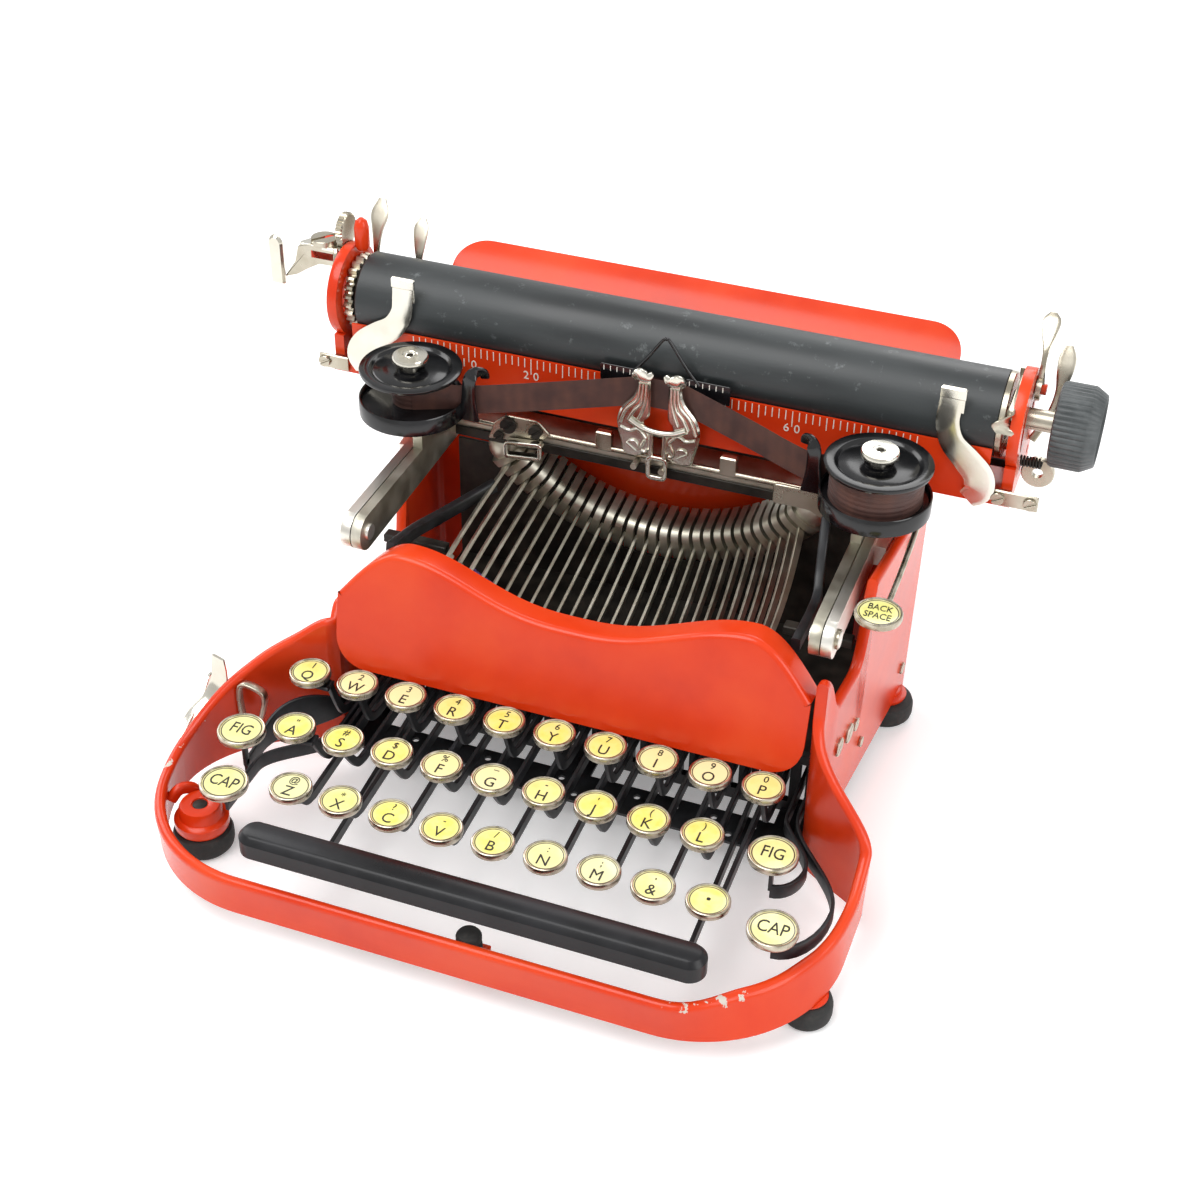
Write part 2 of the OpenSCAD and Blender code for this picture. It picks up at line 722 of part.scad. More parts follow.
// Plan line of the ribbon: spool, guide post, printing point, guide post, spool
module ribbon() {
    ribbon_t = 0.4;
    line = [[-spool_x + 6, spool_y + left_pack_r - 1.5], [-post_x, post_y + 2.2],
        [-8, rail_y0 + 0.2], [8, rail_y0 + 0.2], [post_x, post_y + 2.2],
        [spool_x - 4, spool_y + right_pack_r - 0.1]];
    last = len(line) - 1;
    color([0.22, 0.13, 0.12]) translate([0, 0, ribbon_z]) linear_extrude(ribbon_w)
        polygon(concat(line, [for (i = [last:-1:0]) line[i] + [0, ribbon_t]]));
}

module ribbon_vibrator() {
    lift = 8;
    slot_r = 1.6;
    pin_z = rail_z0 + 5;
    half = 15;
    color([0.75, 0.74, 0.7]) face_plate(guide_y0, guide_y1 - guide_y0) difference() {
        union() {
            polygon([[-9, pin_z - 13], [9, pin_z - 13], [half, pin_z + 2], [half, pin_z + 12],
                [5, pin_z + 20], [-5, pin_z + 20], [-half, pin_z + 12], [-half, pin_z + 2]]);
            for (s = [-1, 1]) polygon([[s * half, pin_z + 10], [s * 3, pin_z + 10],
                [s * 3, pin_z + 35], [s * 8, pin_z + 35], [s * 8.5, pin_z + 26]]);
        }
        for (x = [-5.5, 5.5]) translate([x, pin_z]) union() {
            circle(r = slot_r);
            translate([-slot_r, -lift]) square([2 * slot_r, lift]);
            translate([0, -lift]) circle(r = slot_r);
        }
    }
}

module line_indicator() {
    plate_t = 0.6;
    plate_x = -21;
    plate_l = 50;
    leg_w = 4;
    plate_low = platen_z - 5;
    plate_high = platen_z;
    peak_x = plate_x + plate_l / 2;
    color([0.08, 0.08, 0.08]) face_plate(rail_y0, plate_t) {
        for (x = [plate_x, plate_x + plate_l - leg_w])
            translate([x, rail_z1]) square([leg_w, plate_high - rail_z1]);
        translate([plate_x, plate_low]) square([plate_l, plate_high - plate_low]);
        difference() {
            polygon([[peak_x - 14, plate_high - 1], [peak_x, platen_z + 15],
                [peak_x + 14, plate_high - 1]]);
            polygon([[peak_x - 11, plate_high - 1.5], [peak_x, platen_z + 12],
                [peak_x + 11, plate_high - 1.5]]);
        }
    }
}

module shift_frame() {
    color([0.5, 0.48, 0.44])
        block(-cheek_x + 4, cheek_x - 4, web_y1 + slip, shift_y1, slide_z0, rail_z1);
}

module carriage_rail() {
    web_half = 60;
    drum_pin_r = 2;
    color([0.6, 0.58, 0.53]) {
        block(-web_half, web_half, web_y0, web_y1, slide_z0, track_z0 + 1);
        block(-track_half, track_half, web_y0, web_y1, track_z0, track_z1);
        block(drum_x - 10, drum_x + 10, web_y0, web_y1, slide_z0, track_z0 + 1);
        bar_y(drum_x, web_y1 - 1, web_y1 + 12, drum_z, drum_pin_r);
    }
}

// Side view of a carriage end: a hoop with an upright web for the hub, on a foot
module end_outline() {
    hoop_r = 18;
    hoop_w = 5.5;
    web_w = 14;
    difference() {
        translate([platen_y, platen_z]) circle(r = hoop_r);
        difference() {
            translate([platen_y, platen_z]) circle(r = hoop_r - hoop_w);
            translate([platen_y - web_w / 2, platen_z - hoop_r]) square([web_w, 2 * hoop_r]);
        }
    }
    translate([apron_y + 2, beam_z0]) square([beam_rear_y - apron_y - 2, platen_z - hoop_r + 4 - beam_z0]);
    translate([lift_pin_y, lift_pin_z]) circle(r = 6);
}

module carriage_frame() {
    lip_t = 2.5;
    color([0.87, 0.22, 0.11]) difference() {
        union() {
            block(-end_out, end_out, apron_y, beam_rear_y, beam_z0, beam_z1);
            block(-platen_half, platen_half, apron_y, apron_y + apron_t, beam_z1, apron_top);
            for (x = [-end_out, end_x]) side_plate(x, end_t) end_outline();
            for (x = [-45, 45]) {
                block(x - 6, x + 6, web_y0 - slip - lip_t, web_y0 - slip,
                    track_z0 + 1, beam_z0 + 1);
                block(x - 6, x + 6, web_y1 + slip, web_y1 + slip + lip_t,
                    track_z0 + 1, beam_z0 + 1);
            }
            bar_x(end_out - 1, end_out + 4, lift_pin_y, lift_pin_z, 2);
            block(spacer_x - 6, -end_x, spacer_y - 5, spacer_y + 5, spacer_z - 3.3, spacer_z - 0.3);
            block(-end_out, -end_x, spacer_y - 5, spacer_y + 5, platen_z + 10, spacer_z - 0.3);
            translate([spacer_x, spacer_y, spacer_z - 1]) cylinder(r = 2, h = 5);
        }
        bar_x(-end_out - 1, end_out + 1, platen_y, platen_z, axle_r + run);
        bar_x(-end_out - 1, end_out + 1, platen_y, roller_z, 1.5 + run);
        bar_x(-end_out - 1, end_out + 1, release_y, release_z, release_r + run);
    }
}

module platen() {
    tooth_n = 24;
    tooth_r = 14.5;
    ratchet_x = -platen_half - 4.2;
    color([0.16, 0.17, 0.17]) {
        bar_x(-platen_half, platen_half, platen_y, platen_z, platen_r);
        bar_x(-end_out - 0.4, knob_x, platen_y, platen_z, axle_r);
        side_plate(ratchet_x, 4) translate([platen_y, platen_z]) polygon(
            [for (i = [0:tooth_n - 1]) for (k = [0, 1])
                (tooth_r - 1.6 * k) * [cos((i + 0.8 * k) * 360 / tooth_n),
                    sin((i + 0.8 * k) * 360 / tooth_n)]]);
    }
}

module platen_knob() {
    rib_n = 36;
    color([0.27, 0.28, 0.28]) difference() {
        bar_x(knob_x, knob_x + knob_w, platen_y, platen_z, knob_r);
        bar_x(knob_x + knob_w - 3, knob_x + knob_w + 1, platen_y, platen_z, knob_r - 4);
        for (i = [0:rib_n - 1]) translate([0, platen_y, platen_z]) rotate([i * 360 / rib_n, 0, 0])
            translate([knob_x + 1.5, -0.6, knob_r - 0.6]) cube([knob_w - 3, 1.2, 2]);
    }
}

module paper_table() {
    plate_t = 2;
    corner = 12;
    leg_x = 66;
    leg_w = 10;
    span = table_half - corner;
    top_z = table_high.y - corner;
    color([0.87, 0.22, 0.11]) {
        intersection() {
            side_plate(-table_half, 2 * table_half) polygon([
                table_low, table_high, table_high + [table_lip, -1],
                table_high + [table_lip / 2, -4], table_low + [plate_t, 0]]);
            face_plate(table_low.x - 5, 60) union() {
                for (s = [-1, 1]) translate([s * span, top_z]) circle(r = corner);
                translate([-span, table_low.y - 1]) square([2 * span, table_high.y - table_low.y + 1]);
                translate([-table_half, table_low.y - 1]) square([2 * table_half, top_z - table_low.y + 1]);
            }
        }
        both_sides() block(leg_x, leg_x + leg_w, table_low.x, table_low.x + plate_t,
            beam_z1, table_low.y + 1);
    }
}

// Flat spring finger that holds the paper edge, seen from the front
module paper_finger(side) {
    foot_x = end_out - 10;
    arm = [[foot_x + 8, beam_z1 + 4], [foot_x + 8, beam_z1 + 10], [foot_x - 6, beam_z1 + 14],
        [foot_x - 14, platen_z - 2], [foot_x - 15.5, platen_z + 18], [foot_x - 22, platen_z + 18],
        [foot_x - 22, platen_z - 4], [foot_x - 14, beam_z1 + 9], [foot_x - 8, beam_z1 + 4]];
    color([0.8, 0.79, 0.75]) face_plate(finger_y, finger_t)
        polygon([for (p = arm) [side * p.x, p.y]]);
}

module line_space_lever() {
    lever_h = 2.6;
    tip_x = spacer_x - spacer_l;
    color([0.75, 0.74, 0.7]) difference() {
        union() {
            translate([0, 0, spacer_z]) linear_extrude(lever_h) union() {
                translate([spacer_x, spacer_y]) circle(r = 5);
                polygon([[spacer_x, spacer_y - 4], [spacer_x, spacer_y + 4],
                    [tip_x + 5, spacer_y - 2], [tip_x + 3, spacer_y - 7]]);
            }
            block(tip_x, tip_x + 6, spacer_y - 7, spacer_y - 4.5, spacer_z - 17, spacer_z + 4);
            block(tip_x + 3, tip_x + 8, spacer_y - 6.5, spacer_y - 2.5, spacer_z, spacer_z + lever_h);
        }
        translate([spacer_x, spacer_y, spacer_z - 1]) cylinder(r = 2 + run, h = 6);
    }
}

module paper_release_lever() {
    tip_z = lift_pin_z + 31;
    color([0.8, 0.79, 0.75]) difference() {
        side_plate(end_out + slip, 2.2) union() {
            translate([lift_pin_y, lift_pin_z]) circle(r = 4.5);
            polygon([[lift_pin_y - 2.5, lift_pin_z], [lift_pin_y + 2.5, lift_pin_z],
                [lift_pin_y + 1, tip_z - 12], [lift_pin_y + 3, tip_z - 6], [lift_pin_y + 1, tip_z],
                [lift_pin_y - 3, tip_z], [lift_pin_y - 5, tip_z - 6], [lift_pin_y - 3, tip_z - 12]]);
        }
        bar_x(end_out - 1, end_out + 5, lift_pin_y, lift_pin_z, 2 + run);
    }
}

module carriage_release_lever() {
    arm_w = 2;
    tip_z = platen_z + 35;
    color([0.8, 0.79, 0.75]) {
        bar_x(-end_out, end_out, release_y, release_z, release_r);
        for (x = [-platen_half - (end_gap + arm_w) / 2, platen_half + (end_gap - arm_w) / 2])
            side_plate(x, arm_w) polygon([[release_y - 3, release_z], [release_y + 3, release_z],
                [release_y + 6, platen_z + 18], [release_y + 1, tip_z - 4], [release_y - 2, tip_z],
                [release_y - 6, tip_z - 1], [release_y - 4, tip_z - 6],
                [release_y + 2, platen_z + 16]]);
    }
}

module feed_roller() {
    roller_l = 36;
    roller_n = 4;
    step = 2 * platen_half / roller_n - 6;
    color([0.14, 0.14, 0.14]) {
        bar_x(-end_out, end_out, platen_y, roller_z, 1.5);
        for (i = [0:roller_n - 1])
            bar_x((i - (roller_n - 1) / 2) * step - roller_l / 2,
                (i - (roller_n - 1) / 2) * step + roller_l / 2, platen_y, roller_z, roller_r);
    }
}

module mainspring_drum() {
    drum_y0 = web_y1 + slip;
    color([0.55, 0.53, 0.48]) difference() {
        union() {
            bar_y(drum_x, drum_y0, drum_y0 + 10, drum_z, drum_r - 1);
            bar_y(drum_x, drum_y0, drum_y0 + 1.5, drum_z, drum_r);
            bar_y(drum_x, drum_y0 + 8.5, drum_y0 + 10, drum_z, drum_r);
        }
        bar_y(drum_x, drum_y0 - 1, drum_y0 + 12, drum_z, 2 + run);
    }
}

for (r = [0:2]) for (i = [0:row_count[r] - 1])
    place() letter_key(r, i);
place() base_frame();
place() front_panel();
place() rubber_feet();
place() typebar_segment();
place() typebars();
place() key_guide();
place() fold_arms();
place() space_bar();
place() cap_shift();
place() fig_shift();
place() shift_lock();
place() backspace_key();
place() swing_frame();
place() ribbon_cups();
place() spool(-1, left_pack_r);  // spool_left
place() spool(1, right_pack_r);  // spool_right
place() ribbon();
place() ribbon_vibrator();
place() line_indicator();
place() shift_frame();
place() carriage_rail();
place() carriage_frame();
place() platen();
place() platen_knob();
place() paper_table();
place() paper_finger(-1);  // paper_finger_left
place() paper_finger(1);  // paper_finger_right
place() line_space_lever();
place() paper_release_lever();
place() carriage_release_lever();
place() feed_roller();
place() mainspring_drum();
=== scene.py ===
import math

import bmesh
import bpy
import numpy as np
from mathutils import Matrix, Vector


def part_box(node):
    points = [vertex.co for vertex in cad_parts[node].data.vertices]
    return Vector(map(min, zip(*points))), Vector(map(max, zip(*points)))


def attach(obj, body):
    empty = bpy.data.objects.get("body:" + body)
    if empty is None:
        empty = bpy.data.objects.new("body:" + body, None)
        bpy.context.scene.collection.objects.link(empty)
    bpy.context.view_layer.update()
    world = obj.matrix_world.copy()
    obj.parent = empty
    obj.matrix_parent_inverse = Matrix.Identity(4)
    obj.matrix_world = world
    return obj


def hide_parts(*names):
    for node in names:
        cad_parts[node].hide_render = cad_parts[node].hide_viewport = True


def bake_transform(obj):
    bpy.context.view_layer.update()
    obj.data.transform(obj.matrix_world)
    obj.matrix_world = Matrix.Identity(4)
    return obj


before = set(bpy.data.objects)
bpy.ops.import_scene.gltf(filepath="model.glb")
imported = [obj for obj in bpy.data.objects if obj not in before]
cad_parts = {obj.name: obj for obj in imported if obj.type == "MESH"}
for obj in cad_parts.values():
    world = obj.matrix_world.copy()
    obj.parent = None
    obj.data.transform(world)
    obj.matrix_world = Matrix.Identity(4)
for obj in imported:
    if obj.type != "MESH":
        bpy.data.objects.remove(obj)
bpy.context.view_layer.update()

# All sizes are millimetres in the drawing's own frame, with its origin under the middle of the type basket.
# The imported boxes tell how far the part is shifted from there.
baseFrontY = -107.0
segmentLow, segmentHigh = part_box("typebar_segment")
shift = np.array([(segmentLow.x + segmentHigh.x) * 500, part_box("base_frame")[0].y * 1000 - baseFrontY, 0.0])


def toFrame(points):
    return (np.asarray(points, float) + shift) * 0.001


def unit(vectors):
    vectors = np.asarray(vectors, float)
    return vectors / np.linalg.norm(vectors, axis=-1, keepdims=True)


def turns(steps):
    return np.linspace(0, 2 * np.pi, steps, endpoint=False)


def around(turn):
    return np.stack([np.cos(turn), np.sin(turn)], -1)


# Directions in a plane turned a quarter to the left
def square(along):
    return np.stack([-along[..., 1], along[..., 0]], -1)


# Share of the way from start to end, held at 0 and 1 outside
def part(value, start, end):
    return np.clip((value - start) / (end - start), 0, 1)


def smoothStep(share):
    return share * share * (3 - 2 * share)


# Length run along a line at each of its points
def runAlong(line):
    return np.concatenate([[0], np.cumsum(np.linalg.norm(np.diff(line, axis=0), axis=1))])


# Points drawn in X and Z, set at one Y or at a Y each
def atDepth(flat, y):
    flat = np.asarray(flat, float)
    return np.column_stack([flat[:, 0], np.broadcast_to(y, len(flat)), flat[:, 1]])


# Skin over rings of points: neighbours on a ring and on the next ring make quads, the ends are closed by one face
def loft(rings, wrap=False):
    rings = np.asarray(rings, float)
    n, m = rings.shape[:2]
    i = np.arange(n if wrap else n - 1)[:, None]
    j = np.arange(m)[None, :]
    nextI, nextJ = (i + 1) % n, (j + 1) % m
    corners = np.broadcast_arrays(i * m + j, i * m + nextJ, nextI * m + nextJ, nextI * m + j)
    faces = [np.stack(corners, -1).reshape(-1, 4)]
    if not wrap:
        faces += [np.arange(m)[None, ::-1], (n - 1) * m + np.arange(m)[None, :]]
    return rings.reshape(-1, 3), faces


# Profile (radius, height) turned about an axis through the centre: every height is a circle
def lathe(profile, centre, axis=2, steps=40, wrap=False):
    radius, height = np.asarray(profile, float).T
    rings = np.zeros((len(radius), steps, 3))
    rings[..., [(axis + 1) % 3, (axis + 2) % 3]] = radius[:, None, None] * around(turns(steps))
    rings[..., axis] = height[:, None]
    return loft(rings + np.asarray(centre, float), wrap)


# Short ring with a bore: a lathe profile with both outer edges eased by (radius, height)
def collar(centre, bore, radius, half, ease, axis=0, steps=24):
    inner, low = radius - ease[0], half - ease[1]
    profile = [(bore, -half), (inner, -half), (radius, -low), (radius, low), (inner, half), (bore, half)]
    return lathe(profile, centre, axis, steps, True)


# Profile (across, up) carried along a path, square to it; one profile for all, or one for each path point
def sweep(path, profile, up=(0, 0, 1), wrap=False):
    path, profile = np.asarray(path, float), np.asarray(profile, float)
    along = unit(np.roll(path, -1, 0) - np.roll(path, 1, 0) if wrap else np.gradient(path, axis=0))
    across = unit(np.cross(along, np.broadcast_to(np.asarray(up, float), along.shape)))
    rise = np.cross(across, along)
    return loft(path[:, None] + profile[..., 0:1] * across[:, None] + profile[..., 1:2] * rise[:, None], wrap)


# Flat strip along a smooth line, its width given at each point of the line
def strip(path, widths, thick, up=(0, 1, 0), steps=6):
    wide = smoothLine(np.asarray(widths, float)[:, None], steps)
    profile = boxProfile(1, 1, 0.22, 2)[None] * np.concatenate([wide, np.full_like(wide, thick)], 1)[:, None]
    return sweep(smoothLine(path, steps), profile, up)


# Rectangle with round corners: four corner centres, each with a quarter circle
def boxProfile(width, height, radius, steps=3):
    corners = np.array([(1, 1), (-1, 1), (-1, -1), (1, -1)]) * [width / 2 - radius, height / 2 - radius]
    turn = np.linspace(0, np.pi / 2, steps + 1)[None, :] + np.pi / 2 * np.arange(4)[:, None]
    return (corners[:, None] + radius * around(turn)).reshape(-1, 2)


def ringProfile(radius, steps=10):
    return radius * around(turns(steps))


# Outline with eased corners: each corner is cut back along both sides and bridged by a quadratic curve
def easedOutline(corners, radius, steps=5):
    corners = np.asarray(corners, float)
    back, ahead = np.roll(corners, 1, 0) - corners, np.roll(corners, -1, 0) - corners
    start, end = (corners + unit(way) * np.minimum(radius, 0.48 * np.linalg.norm(way, axis=1, keepdims=True))
                  for way in (back, ahead))
    t = np.linspace(0, 1, steps)[None, :, None]
    curve = (1 - t) ** 2 * start[:, None] + 2 * t * (1 - t) * corners[:, None] + t**2 * end[:, None]
    return curve.reshape(-1, 2)


# Smooth line through a few points: a cubic Hermite curve with each tangent along the chord of its neighbours
def smoothLine(points, steps=8):
    p = np.asarray(points, float)
    slope = np.gradient(p, axis=0)
    t = np.linspace(0, 1, steps, endpoint=False)[None, :, None]
    a, b, m, n = p[:-1, None], p[1:, None], slope[:-1, None], slope[1:, None]
    curve = (2 * t**3 - 3 * t**2 + 1) * a + (t**3 - 2 * t**2 + t) * m + (3 * t**2 - 2 * t**3) * b + (t**3 - t**2) * n
    return np.concatenate([curve.reshape(-1, p.shape[1]), p[-1:]])


# Flat plate: the outline at four depths, drawn in a little at both faces so that the edges are eased
def plate(outline, thick, origin, axes, ease=0.3):
    outline = np.asarray(outline, float)
    after = np.roll(outline, -1, 0)
    area = np.sum(outline[:, 0] * after[:, 1] - after[:, 0] * outline[:, 1])
    inward = square(unit(after - np.roll(outline, 1, 0))) * np.sign(area)
    depth = np.array([0, ease, thick - ease, thick])
    draw = np.array([ease, 0, 0, ease])
    flat = outline[None] + draw[:, None, None] * inward[None]
    first, second, third = np.asarray(axes, float)
    rings = flat[..., 0:1] * first + flat[..., 1:2] * second + depth[:, None, None] * third
    return loft(rings + np.asarray(origin, float))


sideAxes = [(0, 1, 0), (0, 0, 1), (1, 0, 0)]  # drawn in Y and Z, thick along X
faceAxes = [(1, 0, 0), (0, 0, 1), (0, 1, 0)]  # drawn in X and Z, thick along Y
topAxes = [(1, 0, 0), (0, 1, 0), (0, 0, 1)]  # drawn in X and Y, thick along Z
scaleAxes = [(1, 0, 0), (0, 0, 1), (0, -1, 0)]  # letters that face the front


# Plate that faces the front, from corners in X and Z
def facePlate(corners, radius, y, thick, ease=0.3, steps=5):
    return plate(easedOutline(corners, radius, steps), thick, (0, y, 0), faceAxes, ease)


# Box with eased edges, as a plate of four corners
def block(low, high, ease=0.4):
    corners = [(low[0], low[1]), (high[0], low[1]), (high[0], high[1]), (low[0], high[1])]
    return plate(easedOutline(corners, ease, 3), high[2] - low[2], (0, 0, low[2]), topAxes, ease)


# Two axes square to a given one
def axesFor(normal):
    normal = unit(normal)
    helper = np.array([0, 0, 1.0]) if abs(normal[2]) < 0.9 else np.array([0, 1.0, 0])
    first = unit(np.cross(helper, normal))
    return first, np.cross(normal, first), normal


# Round bar between two points, both ends eased
def rod(start, end, radius, steps=14):
    start, end = np.asarray(start, float), np.asarray(end, float)
    ease = min(0.25, radius * 0.3)
    length = np.linalg.norm(end - start)
    first, second, third = axesFor(end - start)
    size = np.array([radius - ease, radius, radius, radius - ease])[:, None, None]
    along = np.array([0, ease, length - ease, length])[:, None, None]
    circle = ringProfile(1, steps)[None]
    return loft(start + along * third + size * (circle[..., 0:1] * first + circle[..., 1:2] * second))


# Slotted screw head: a low disc and two half moons with the slot left between them
def screwHead(centre, normal, radius, height=1.2, turn=0.6):
    first, second, third = axesFor(normal)
    across = math.cos(turn) * first + math.sin(turn) * second
    half = radius * around(np.linspace(0.16, np.pi - 0.16, 14))
    disc = rod(centre, np.asarray(centre) + third * height * 0.55, radius * 0.98, 20)
    axes = across, np.cross(third, across), third
    return [disc] + [plate(half * [1, sign], height, centre, axes, 0.15) for sign in (1, -1)]


# Letters as thin raised shells: the font's outlines filled, given a little thickness and welded
def lettering(words, size, origin, axes, thick=0.14, stretch=1.0):
    curve = bpy.data.curves.new("letters", "FONT")
    curve.body, curve.size = words, size
    curve.align_x, curve.align_y = "CENTER", "CENTER"
    curve.extrude, curve.resolution_u = thick / 2, 3
    holder = bpy.data.objects.new("letters", curve)
    mesh = bpy.data.meshes.new_from_object(holder)
    flat = np.zeros(len(mesh.vertices) * 3)
    mesh.vertices.foreach_get("co", flat)
    points, where = np.unique(np.round(flat.reshape(-1, 3), 5), axis=0, return_inverse=True)
    faces = [where.ravel()[np.array(p.vertices)][None] for p in mesh.polygons]
    bpy.data.meshes.remove(mesh)
    bpy.data.objects.remove(holder)
    bpy.data.curves.remove(curve)
    return (points * [stretch, 1, 1]) @ np.asarray(axes, float) + np.asarray(origin, float), faces


# Shells of one material, each with its number in the piece's list of materials
def group(number, *shells):
    return [(shell, number) for shell in shells]


def addObject(name, data):
    thing = bpy.data.objects.new(name, data)
    bpy.context.scene.collection.objects.link(thing)
    return thing


# One mesh from shells of (points, faces), material number and, for a key card, the place on its card.
# It rides one body or, when given anything but a body's name, stays fixed where it is built
def makePiece(name, shells, materials, body, replaces=(), sharp=38):
    points = np.concatenate([shell[0][0] for shell in shells])
    starts = np.cumsum([0] + [len(shell[0][0]) for shell in shells])
    faces, numbers = [], []
    for shell, start in zip(shells, starts):
        for rows in shell[0][1]:
            faces += (rows + start).tolist()
            numbers += [shell[1]] * len(rows)
    mesh = bpy.data.meshes.new(name)
    mesh.from_pydata(toFrame(points).tolist(), [], faces)
    mesh.polygons.foreach_set("material_index", numbers)
    spots = np.concatenate([s[2] if len(s) > 2 else np.zeros((len(s[0][0]), 3)) for s in shells])
    mesh.attributes.new("spot", "FLOAT_VECTOR", "POINT").data.foreach_set("vector", spots.ravel())
    work = bmesh.new()
    work.from_mesh(mesh)
    bmesh.ops.recalc_face_normals(work, faces=work.faces)
    work.to_mesh(mesh)
    work.free()
    mesh.polygons.foreach_set("use_smooth", [True] * len(mesh.polygons))
    mesh.set_sharp_from_angle(angle=math.radians(sharp))
    for material in materials:
        mesh.materials.append(material)
    piece = addObject(name, mesh)
    if isinstance(body, str):
        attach(piece, body)
    else:
        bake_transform(piece)
    if replaces:
        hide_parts(*replaces)
    return piece


# Colours are sRGB hex values, turned to linear light
def colour(code):
    srgb = np.array([int(code[k:k + 2], 16) for k in (1, 3, 5)]) / 255
    linear = np.where(srgb <= 0.04045, srgb / 12.92, ((srgb + 0.055) / 1.055) ** 2.4)
    return (*linear.tolist(), 1.0)


def addNode(tree, kind, inputs=None, **settings):
    made = tree.nodes.new("ShaderNode" + kind)
    for key, value in settings.items():
        setattr(made, key, value)
    for key, value in (inputs or {}).items():
        if isinstance(value, bpy.types.NodeSocket):
            tree.links.new(value, made.inputs[key])
        else:
            made.inputs[key].default_value = value
    return made


def perMm(size):
    return 1000.0 / size  # texture scale whose cells are about this many millimetres


# Every finish has a base of three tones by a noise, a changing roughness and a fine relief (grain, strength)
def finish(name, tones, grain, rough, metallic=0.0, relief=(0.5, 0.02), stretch=(1, 1, 1), specular=0.5):
    material = bpy.data.materials.new(name)
    material.use_nodes = True
    tree = material.node_tree
    shader = tree.nodes["Principled BSDF"]
    place = addNode(tree, "TexCoord").outputs["Object"]
    laid = addNode(tree, "Mapping", {"Vector": place, "Scale": stretch}).outputs[0]
    patches = addNode(tree, "TexNoise", {"Vector": laid, "Scale": perMm(grain), "Detail": 5.0}).outputs["Fac"]
    ramp = addNode(tree, "ValToRGB", {"Fac": patches})
    ramp.color_ramp.elements.new(0.5)
    for element, tone, at in zip(ramp.color_ramp.elements, tones, np.linspace(0.34, 0.66, len(tones))):
        element.position = at
        element.color = colour(tone)
    dulling = addNode(tree, "MapRange", {"Value": patches, "From Min": 0.3, "From Max": 0.7,
                                        "To Min": rough[0], "To Max": rough[1]})
    fine = addNode(tree, "TexNoise", {"Vector": laid, "Scale": perMm(relief[0]), "Detail": 2.0})
    bump = addNode(tree, "Bump", {"Height": fine.outputs["Fac"], "Strength": relief[1], "Distance": 0.0004})
    tree.links.new(ramp.outputs["Color"], shader.inputs["Base Color"])
    tree.links.new(dulling.outputs["Result"], shader.inputs["Roughness"])
    tree.links.new(bump.outputs["Normal"], shader.inputs["Normal"])
    shader.inputs["Metallic"].default_value = metallic
    shader.inputs["Specular IOR Level"].default_value = specular
    return material, tree, shader, ramp.outputs["Color"], dulling.outputs["Result"], place


# Chips of the enamel on the rim: place and reach
chipSpots = [(70, -105, 26, 5), (76, -103.6, 26, 6), (82, -101, 26, 6.5), (88, -98, 26, 6.5), (94, -93, 26, 5.5),
             (108, -72, 26.5, 4.5), (84, -106, 16, 3.6), (91, -103.5, 15, 3), (-134.5, -72, 26, 4.5),
             (-135, -62, 27, 5), (-134, -53, 29.5, 4.5), (-131, -84, 26, 4), (-126, -91, 26, 3.5), (-118, -98, 26, 3),
             (-130.5, -42, 33.5, 3)]


# Stoved red enamel on a cast frame: deep gloss, faint orange peel, and chips on the rim down to grey primer
def redEnamelFinish():
    material, tree, shader, tone, dulling, place = finish(
        "red_stoved_enamel", ["#D2340E", "#DC3C13", "#E1451A"], 40, (0.18, 0.27), relief=(1.1, 0.04), specular=0.34)
    near = None
    for x, y, z, reach in chipSpots:
        spot = addNode(tree, "VectorMath", {0: place, 1: toFrame((x, y, z)).tolist()}, operation="DISTANCE")
        close = addNode(tree, "MapRange", {"Value": spot.outputs["Value"], "From Min": reach * 0.00045,
                                          "From Max": reach * 0.001, "To Min": 1.0, "To Max": 0.0}).outputs[0]
        near = close if near is None else addNode(
            tree, "Math", {0: near, 1: close}, operation="MAXIMUM").outputs[0]
    flakes = addNode(tree, "TexNoise", {"Vector": place, "Scale": perMm(3.4), "Detail": 4.0, "Roughness": 0.62})
    loose = addNode(tree, "Math", {0: flakes.outputs["Fac"], 1: near}, operation="MULTIPLY")
    chip = addNode(tree, "MapRange", {"Value": loose.outputs[0], "From Min": 0.545, "From Max": 0.565}).outputs[0]
    bare = addNode(tree, "Mix", {"Factor": chip, "A": tone, "B": colour("#CFC7BB")}, data_type="RGBA")
    worn = addNode(tree, "Mix", {"Factor": chip, "A": dulling, "B": 0.55})
    tree.links.new(bare.outputs["Result"], shader.inputs["Base Color"])
    tree.links.new(worn.outputs[0], shader.inputs["Roughness"])
    return material


